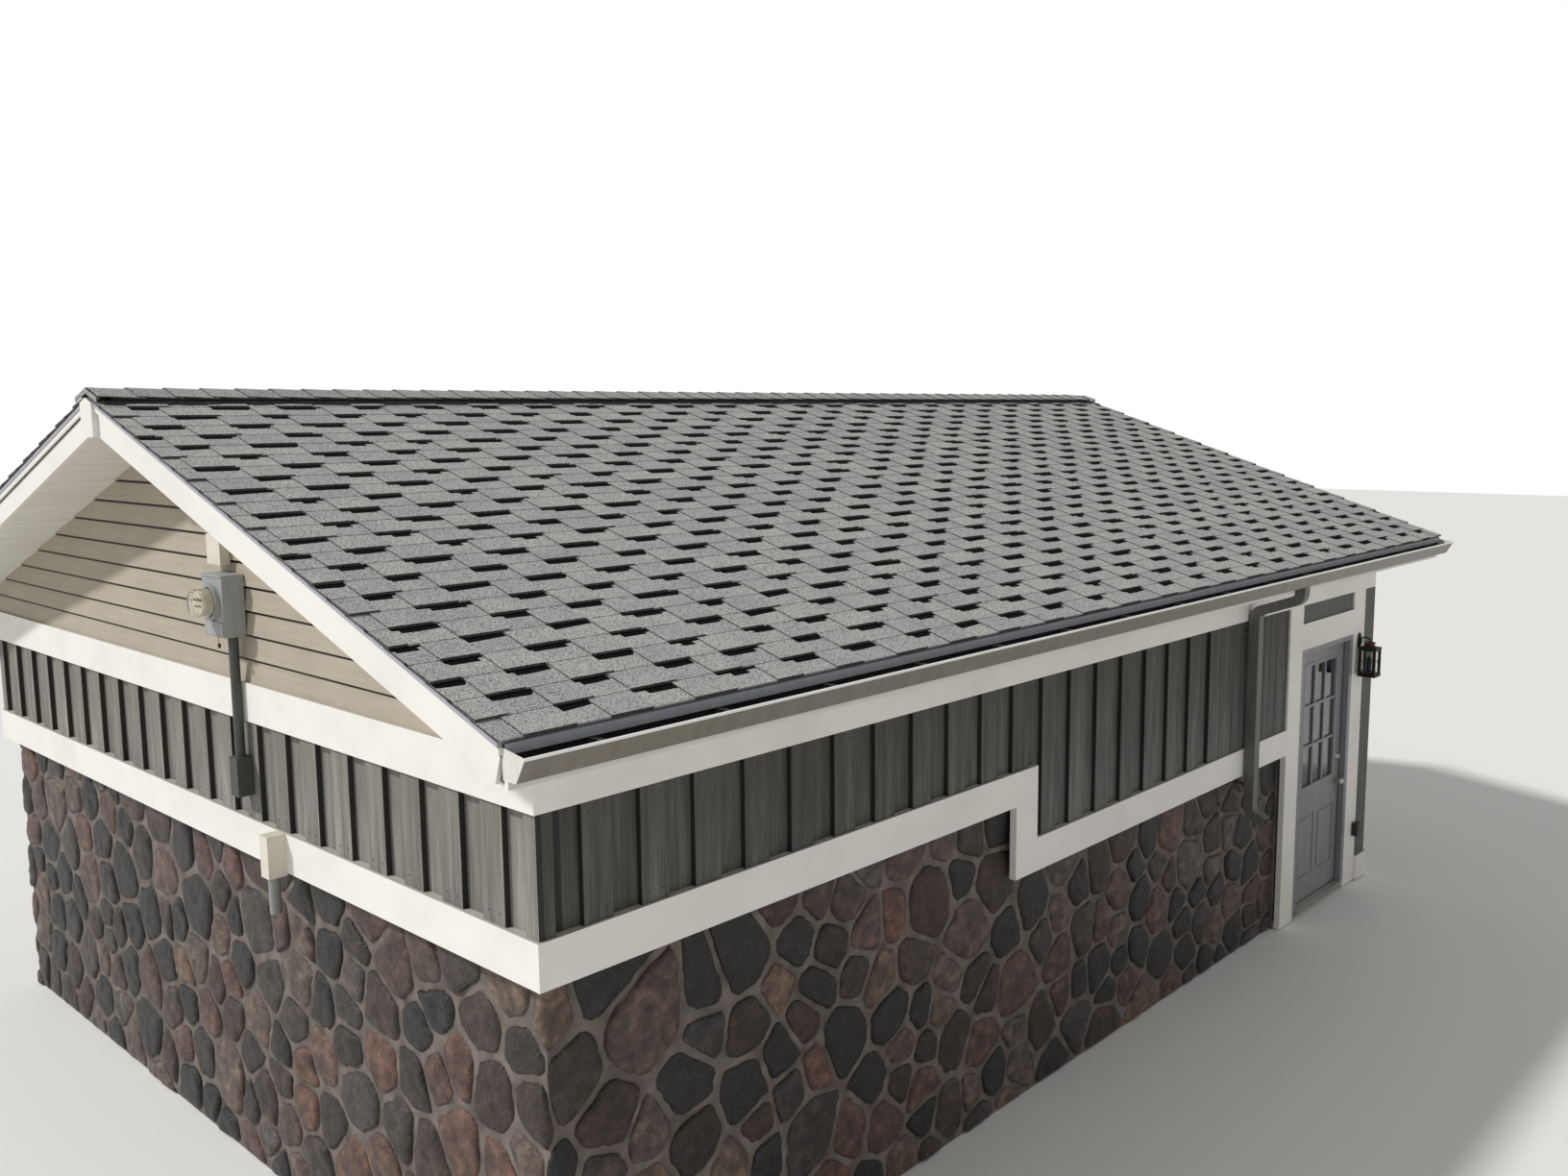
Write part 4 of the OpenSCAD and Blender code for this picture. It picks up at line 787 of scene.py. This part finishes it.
def capMesh():
    # four rows of points: the under side and the upper side, each at the low and at the high end of the cap
    c = capValues
    across = [-1.0, -0.66, -0.33, -0.12, -0.05, 0.0, 0.05, 0.12, 0.33, 0.66, 1.0]
    points = []
    for level in (0.0, c["thick"]):
        for x in (0.0, c["length"]):
            for s in across:
                y = s * c["width"]
                bend = math.sqrt(y * y + c["fold"] ** 2) - c["fold"]
                points.append((x, y, -house["rise"] * bend + level - c["lift"] * x / c["length"]))
    n = len(across)
    faces, ink = [], []
    for i in range(n - 1):
        faces += [(2 * n + i, 3 * n + i, 3 * n + i + 1, 2 * n + i + 1), (i, i + 1, n + i + 1, n + i),
                  (i, 2 * n + i, 2 * n + i + 1, i + 1), (n + i, n + i + 1, 3 * n + i + 1, 3 * n + i)]
        ink += [0.0, 0.9, 0.55, 0.9]
    for i in (0, n - 1):
        faces.append((i, n + i, 3 * n + i, 2 * n + i) if i == 0 else (i, 2 * n + i, 3 * n + i, n + i))
        ink.append(0.35)
    faces = [tuple(reversed(face)) for face in faces]
    return meshFrom("capShingle", points, faces, ink=ink)


def rowTree():
    # copies of one shape along x, each turned a little by chance, then the whole row turned about z
    tree, add, source = newTree("rowOfShapes", Int="Count", Float="Pitch, Start, Height, Skew, Turn",
                                Object="Shape", Material="Material")
    index = add("GeometryNodeInputIndex")
    cloud = add("GeometryNodePoints", {"Count": source["Count"]})
    x = add("Math", [index, source["Pitch"], source["Start"]], operation="MULTIPLY_ADD")
    spot = add("CombineXYZ", {0: x, 2: source["Height"]})
    less = add("Math", [source["Skew"], -1.0], operation="MULTIPLY")
    skew = add("FunctionNodeRandomValue", {2: less, 3: source["Skew"], "ID": index, "Seed": 5},
               data_type="FLOAT")
    turn = add("CombineXYZ", {2: skew})
    shape = add("GeometryNodeObjectInfo", [source["Shape"], True]).outputs["Geometry"]
    marked = toneCopies(add, index, 9, cloud, spot, {"Instance": shape, "Rotation": turn})
    closeTree(add, source, marked)
    return tree


rowNodes = rowTree()


def growRow(name, shape, count, pitch, start, turn, material, height=0.0, skew=0.0):
    return growPiece(name, rowNodes, {
        "Count": count, "Pitch": pitch, "Start": start, "Height": height, "Skew": skew, "Turn": turn,
        "Shape": shape}, material)


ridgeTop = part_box("ridge_cap")[1].z
capObject = hiddenObject("capShingle", capMesh())
caps = growRow("ridgeCaps", capObject, capValues["count"] - 1, capValues["pitch"], 0.004 - house["roofHalf"],
               0.0, capShingles, ridgeTop - capValues["sink"], capValues["skew"])
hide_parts("ridge_cap")
print("boathouse: ridge caps", len(caps.data.polygons), "faces")


# Folded shingle pieces that close the ends of the ridge
endValues = {"near": 4.6965, "far": 4.7005, "outline": [
    (-0.139, 4.0739), (0, 4.1175), (0.139, 4.0739), (0.139, 4.049), (0, 4.0925), (-0.139, 4.049)]}


def ridgeEnd(values, end):
    return skin([[(end * x, y, z) for y, z in values["outline"]] for x in (values["near"], values["far"])])


makeShape("ridgeEnds", capShingles, "asphalt_shingle", ridgeEnd(endValues, -1), ridgeEnd(endValues, 1))

# Black strips of uneven reach beside the ridge vent, lying on the shingles under the caps: partly the vent's
# outer baffle, partly a painted shadow under the caps
baffleAndShadowValues = {"from": 0.128, "reach": (0.028, 0.046), "step": 0.055, "gap": 0.002, "inset": 0.03, "seed": 8}


def finShape(values, side):
    chance = random.Random(values["seed"] + side)
    near, peak, rise = values["from"], house["ridgeZ"], house["rise"]
    end = house["roofHalf"] - values["inset"]
    rings, x = [], -end
    while x < end:
        far = near + chance.uniform(*values["reach"])
        step = values["step"] * chance.uniform(0.5, 1.5)
        outline = [(near, 0.009), (far, 0.0035), (far, -0.004), (near, -0.004)]
        for spot in (x, min(x + step - values["gap"], end)):
            rings.append([(spot, side * y, peak - rise * y + lift) for y, lift in outline])
        x += step
    return skin(rings)


makeShape("ventFins", ventPlastic, "vent_plastic", finShape(baffleAndShadowValues, -1), finShape(baffleAndShadowValues, 1))

# A painted shadow: dark strips under the upper strips of the rake boards
rakeShadowValues = {"peak": 4.089, "y": (0.076, 3.41), "x": (4.6762, 4.673), "under": (0.0609, 0.0700)}


def rakeSeam(values, end, side):
    (out, face), (top, foot) = values["x"], values["under"]
    rings = []
    for y in values["y"]:
        z = values["peak"] - house["rise"] * y
        rings.append([(end * out, side * y, z - top), (end * out, side * y, z - foot),
                      (end * face, side * y, z - foot), (end * face, side * y, z - top)])
    return skin(rings)


makeShape("rakeSeams", paintedShadeAndGrime, "white_trim",
          *[rakeSeam(rakeShadowValues, end, side) for end in (-1, 1) for side in (-1, 1)])

# Straps that hold the front of the gutters, each with a hook over the lip and a screw
hangerValues = {
    "count": 15, "pitch": 0.6165, "start": -4.31, "half": 0.013, "back": -3.530, "front": -3.424,
    "top": 2.8388, "strap": 0.0018, "hook": 0.002, "hookFoot": 2.8200, "screwZ": 2.830, "screw": 0.006}


def hangerShapes(values):
    half, front, top, screw = values["half"], values["front"], values["top"], values["screw"]
    inner = front - values["hook"]
    return (box((-half, values["back"], top - values["strap"]), (half, front, top)),
            box((-half, inner, values["hookFoot"]), (half, front, top)),
            lathe((0, 0, values["screwZ"]), "Y", [(screw, inner - 0.003), (screw, inner)], 8))


hanger = hiddenObject("hanger", joinShapes("hanger", *hangerShapes(hangerValues)))
for side, turn in (("Front", 0.0), ("Back", math.pi)):
    growRow("gutterHangers" + side, hanger, hangerValues["count"], hangerValues["pitch"],
            hangerValues["start"], turn, conduitSteel)

# Dark sealant in the joints of the flush panel beside the door
panel = {"joints": (1.398, 1.589, 2.085, 2.205, 2.31, 2.48), "face": -3.0755, "foot": 1.40, "head": 2.484,
         "half": 0.0035, "proud": 0.0006, "deep": 0.004}
makeShape("panelSealant", ventPlastic, "grey_boards", *[
    box((x - panel["half"], panel["face"] - panel["proud"], panel["foot"]),
        (x + panel["half"], panel["face"] + panel["deep"], panel["head"])) for x in panel["joints"]])

# Coach lantern: bronze cage with glass panes, copper hood, oval wall plate and a candle
lampValues = {
    "x": 3.896, "y": -3.181, "foot": 1.785, "shoulder": 2.025, "half": 0.069, "wall": -3.090,
    # each set of bars, posts and panes: how far from the middle, and half its thickness
    "postAt": 0.056, "post": 0.011, "barAt": 0.062, "bar": 0.002, "barZ": (1.908, 1.912),
    "paneAt": 0.0585, "pane": 0.001, "paneHalf": 0.053, "paneZ": (1.811, 2.007), "plateStretch": 1.85,
    "armZ": 2.070, "armRise": 0.033, "armRun": 0.081, "arm": 0.0055,
    # outlines: distance from the axis and height, or for the plate distance from the wall
    "plate": [(0.036, 0.0), (0.036, 0.006), (0.031, 0.012), (0.018, 0.017), (0.012, 0.024), (0.004, 0.026)],
    "knob": [(0.004, 2.070), (0.004, 2.080), (0.009, 2.084), (0.009, 2.088), (0.003, 2.093)],
    "hood": [(0.064, 2.0255), (0.050, 2.034), (0.036, 2.038), (0.036, 2.056), (0.044, 2.058), (0.044, 2.064),
             (0.022, 2.0705), (0.006, 2.073)],
    "candle": [(0.026, 1.815), (0.026, 1.822), (0.019, 1.823), (0.019, 1.898), (0.017, 1.902), (0.019, 1.918),
               (0.013, 1.940), (0.002, 1.958)],
}


def post(x, y, low, high, halfX, halfY):
    return box((x - halfX, y - halfY, low), (x + halfX, y + halfY, high))


def lampSide(lamp, dx, dy, away, thin, wide, low, high):
    # a flat bar or pane on one side of the lantern
    x, y = lamp["x"] + dx * away, lamp["y"] + dy * away
    return post(x, y, low, high, thin if dx else wide, thin if dy else wide)


def lampArm(lamp, steps=14):
    # the arm rises out of the plate and bends down to the hood
    path = []
    for i in range(steps + 1):
        t = i / steps
        rise = lamp["armRise"] * math.sin(math.pi * (0.1 + 0.75 * t))
        path.append((lamp["x"], lamp["wall"] - 0.01 - lamp["armRun"] * t, lamp["armZ"] + rise))
    return tube(path, lamp["arm"], (1, 0, 0))


def buildLantern(lamp):
    x, y, foot, shoulder, half = lamp["x"], lamp["y"], lamp["foot"], lamp["shoulder"], lamp["half"]
    cage = [post(x, y, foot, foot + 0.027, half, half),
            post(x, y, foot + 0.027, foot + 0.034, half - 0.005, half - 0.005),
            post(x, y, shoulder - 0.024, shoulder, half, half)]
    panes = []
    for a in (-1, 1):
        for b in (-1, 1):
            cage.append(post(x + a * lamp["postAt"], y + b * lamp["postAt"], foot + 0.02, shoulder - 0.01,
                             lamp["post"], lamp["post"]))
        for dx, dy in ((a, 0), (0, a)):
            cage.append(lampSide(lamp, dx, dy, lamp["barAt"], lamp["bar"], lamp["postAt"], *lamp["barZ"]))
            panes.append(lampSide(lamp, dx, dy, lamp["paneAt"], lamp["pane"], lamp["paneHalf"],
                                  *lamp["paneZ"]))
    points, faces = lathe((x, 0, 0), "Y", [(radius, lamp["wall"] - away) for radius, away in lamp["plate"]])
    cage.append(([(px, py, lamp["armZ"] + pz * lamp["plateStretch"]) for px, py, pz in points], faces))
    cage += [lampArm(lamp), lathe((x, y, 0), "Z", lamp["knob"], 12)]
    lanternCage = makeShape("lanternCage", darkBronze, "aged_copper", *cage)
    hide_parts("lantern")
    makeShape("lanternHood", agedCopper, "aged_copper", lathe((x, y, 0), "Z", lamp["hood"], 8))
    makeShape("lanternPanes", glass, "window_glass", *panes)
    candle = lathe((x, y, 0), "Z", lamp["candle"], 16)
    smooth(makeShape("lanternCandle", creamPlastic, "cream_plastic", candle))


buildLantern(lampValues)

# Electricity meter: a yellowed glass dome over a dial drum, clamped to the socket, with a wire seal
meterValues = {
    "y": -0.646, "z": 3.080,
    "base": -4.4215, "front": -4.519, "radius": 0.0735,  # of the dome
    "drum": 0.064, "face": 0.066,  # radius of the drum, and its length
    "dials": 5, "dialPitch": 0.019, "clampBack": -4.4155, "clampFront": -4.4265,
}


def buildMeter(meter):
    y, z, base, tip, rim = (meter[key] for key in ("y", "z", "base", "front", "radius"))
    face, back, front = base - meter["face"], meter["clampBack"], meter["clampFront"]
    dome = makeShape("meterDome", meterGlass, "window_glass", lathe((0, y, z), "X", [
        (rim, base), (rim, base - 0.012), (rim - 0.003, base - 0.016), (rim - 0.005, tip + 0.016),
        (rim - 0.010, tip + 0.005), (rim - 0.019, tip), (0.0005, tip), (0.0005, tip + 0.003),
        (rim - 0.020, tip + 0.003), (rim - 0.012, tip + 0.008), (rim - 0.008, tip + 0.017),
        (rim - 0.006, base)], 40, True))
    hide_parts("meter_glass")
    wide = meter["drum"]
    drum = makeShape("meterDrum", creamPlastic, "cream_plastic", lathe((0, y, z), "X", [
        (wide, base), (wide, face + 0.008), (wide - 0.008, face + 0.006), (wide - 0.008, face),
        (0.0005, face)], 32))
    dials = [lathe((0, y + (i - (meter["dials"] - 1) / 2) * meter["dialPitch"], z + 0.018), "X",
                   [(0.0080, face), (0.0080, face - 0.0008)], 14) for i in range(meter["dials"])]
    plate = box((face - 0.001, y - 0.034, z - 0.018), (face, y + 0.034, z - 0.010))
    makeShape("meterDials", ventPlastic, "vent_plastic", *dials, plate)
    ring = [(0.0800, back), (0.0800, front + 0.002), (0.0765, front), (0.0745, front), (0.0745, back)]
    makeShape("meterClamp", greyEnamel, "grey_enamel", lathe((0, y, z), "X", ring, 40, True),
              box((front, y - 0.010, z - 0.094), (back, y + 0.010, z - 0.079)),
              box((-4.4190, y - 0.1005, 2.917), (-4.4148, y + 0.1005, 2.985)),
              box((-4.4200, y - 0.1100, 3.2040), (-4.3065, y + 0.1100, 3.2135)))
    wire = [(-4.421, -0.700, 2.918), (-4.424, -0.703, 2.900), (-4.422, -0.706, 2.884)]
    makeShape("meterSeal", agedCopper, "aged_copper", tube(wire, 0.0012, (0, 1, 0), 6),
              lathe((0, -0.706, 2.872), "X", [(0.012, -4.4255), (0.012, -4.4185)], 14))
    smooth(dome)
    smooth(drum)


buildMeter(meterValues)
print("boathouse: vent fins, hangers, lantern and meter built")

# Heads of the nails in the battens, two at the top and two at the foot of each
nailValues = {"head": 0.0045, "proud": 0.0012, "inset": 0.036, "width": 0.146, "foot": 2.035,
              "longTop": 2.44, "gableTop": 2.64, "backStart": -3.748}


def nailShape(name, values, face, top):
    head, proud = values["head"], values["proud"]
    outline = [(head, face + 0.001), (head, face - proud / 2), (head * 0.7, face - proud)]
    return hiddenObject(name, joinShapes(name, *[
        lathe((x, 0, z), "Y", outline, 8) for z in (values["foot"], top)
        for x in (values["inset"], values["width"] - values["inset"])]))


longNails = nailShape("longNails", nailValues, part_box("boards_front")[0].y, nailValues["longTop"])
gableNails = nailShape("gableNails", nailValues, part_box("boards_gables")[0].x, nailValues["gableTop"])
for side, shape, count, boards, start, turn in (
        ("Front", longNails, 18, stainedBoards["long"], stainedBoards["long"]["start"], 0.0),
        ("Back", longNails, 27, stainedBoards["long"], nailValues["backStart"], math.pi),
        ("Near", gableNails, 20, stainedBoards["gable"], stainedBoards["gable"]["start"], -math.pi / 2)):
    growRow("nails" + side, shape, count, boards["pitch"], start, turn, rustedIron)

# Lift handle with its foot plates, lock plate and bottom seal of the boat door
boatValues = {"handleZ": 0.42, "handle": 0.085, "out": 0.034, "bar": 0.006, "plate": 0.020, "lockZ": 1.02,
              "sealHalf": 1.46, "sealFoot": 0.0612, "sealTop": 0.082}


def buildBoatFittings(boat):
    face, z, half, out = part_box("boat_door")[1].x, boat["handleZ"], boat["handle"], boat["out"]
    path = [(face + away, y, z) for away, y in (
        (-0.002, -half), (out - 0.012, -half), (out - 0.002, 0.01 - half), (out, 0.0),
        (out - 0.002, half - 0.01), (out - 0.012, half), (-0.002, half))]
    wide = boat["plate"]
    plates = [box((face - 0.001, y - wide, z - wide), (face + 0.002, y + wide, z + wide))
              for y in (-half, half)]
    outline = [(wide, face - 0.001), (wide, face + 0.003), (0.012, face + 0.006)]
    lock = lathe((0, 0, boat["lockZ"]), "X", outline, 20)
    makeShape("boatDoorHandle", satinSteel, "satin_steel", tube(path, boat["bar"], (0, 0, 1)), *plates, lock)
    half = boat["sealHalf"]
    seal = box((face - 0.004, -half, boat["sealFoot"]), (face + 0.004, half, boat["sealTop"]))
    makeShape("boatDoorSeal", ventPlastic, "vent_plastic", seal)


buildBoatFittings(boatValues)
print("boathouse: nails and boat door fittings built")

# Floor, light and camera
stageValues = {"floor": "#e8e7e4", "floorHalf": 60, "floorZ": -0.002, "sky": 0.43, "sun": 2.55,
               "sunAngle": 4, "sunFrom": (-0.604, 0.405, 0.686)}


def buildStage(values):
    half, level = values["floorHalf"], values["floorZ"]
    corners = [(-half, -half, level), (half, -half, level), (half, half, level), (-half, half, level)]
    floor = addObject("paleFloor", meshFrom("paleFloor", corners, [(0, 1, 2, 3)]))
    floor.data.materials.append(finish(newMaterial("paleFloorPaint")[0], values["floor"], None, 0, 0.8))
    world = bpy.data.worlds.new("studio")
    bpy.context.scene.world = world
    world.use_nodes = True
    world.node_tree.nodes.clear()
    add = partial(addNode, world.node_tree)
    rays = add("LightPath")
    through = add("Math", [rays.outputs["Is Camera Ray"], rays.outputs["Is Transmission Ray"]],
                  operation="MAXIMUM")
    level = add("MapRange", {0: through, 3: values["sky"], 4: 1.0})
    sky = add("Background", ["#ffffff", level])
    add("OutputWorld", [sky])
    light = bpy.data.lights.new("softSun", "SUN")
    light.energy = values["sun"]
    light.angle = math.radians(values["sunAngle"])
    sun = addObject("softSun", light)
    sun.rotation_mode = "QUATERNION"
    sun.rotation_quaternion = Vector(values["sunFrom"]).to_track_quat("Z", "Y")


cameraValues = {"place": (-7.1579, -7.0590, 3.9548), "turn": (-0.1297, 0.0100, -0.8133), "lens": 30.54}


def buildCamera(values):
    camera = addObject("photoCamera", bpy.data.cameras.new("photoCamera"))
    camera.data.lens = values["lens"]
    camera.data.sensor_width = 36.0
    camera.data.sensor_fit = "HORIZONTAL"
    tip, roll, heading = values["turn"]
    matrix = Matrix.Rotation(heading, 4, "Z") @ Matrix.Rotation(tip, 4, "X") @ Matrix.Rotation(roll, 4, "Y")
    camera.matrix_world = Matrix.Translation(values["place"]) @ matrix @ Matrix.Rotation(math.pi / 2, 4, "X")
    bpy.context.scene.camera = camera


buildStage(stageValues)
buildCamera(cameraValues)
bpy.context.scene.view_settings.view_transform = "Standard"
for thing in hidden:
    bpy.data.objects.remove(thing)
bpy.context.view_layer.update()

print("boathouse: finished")
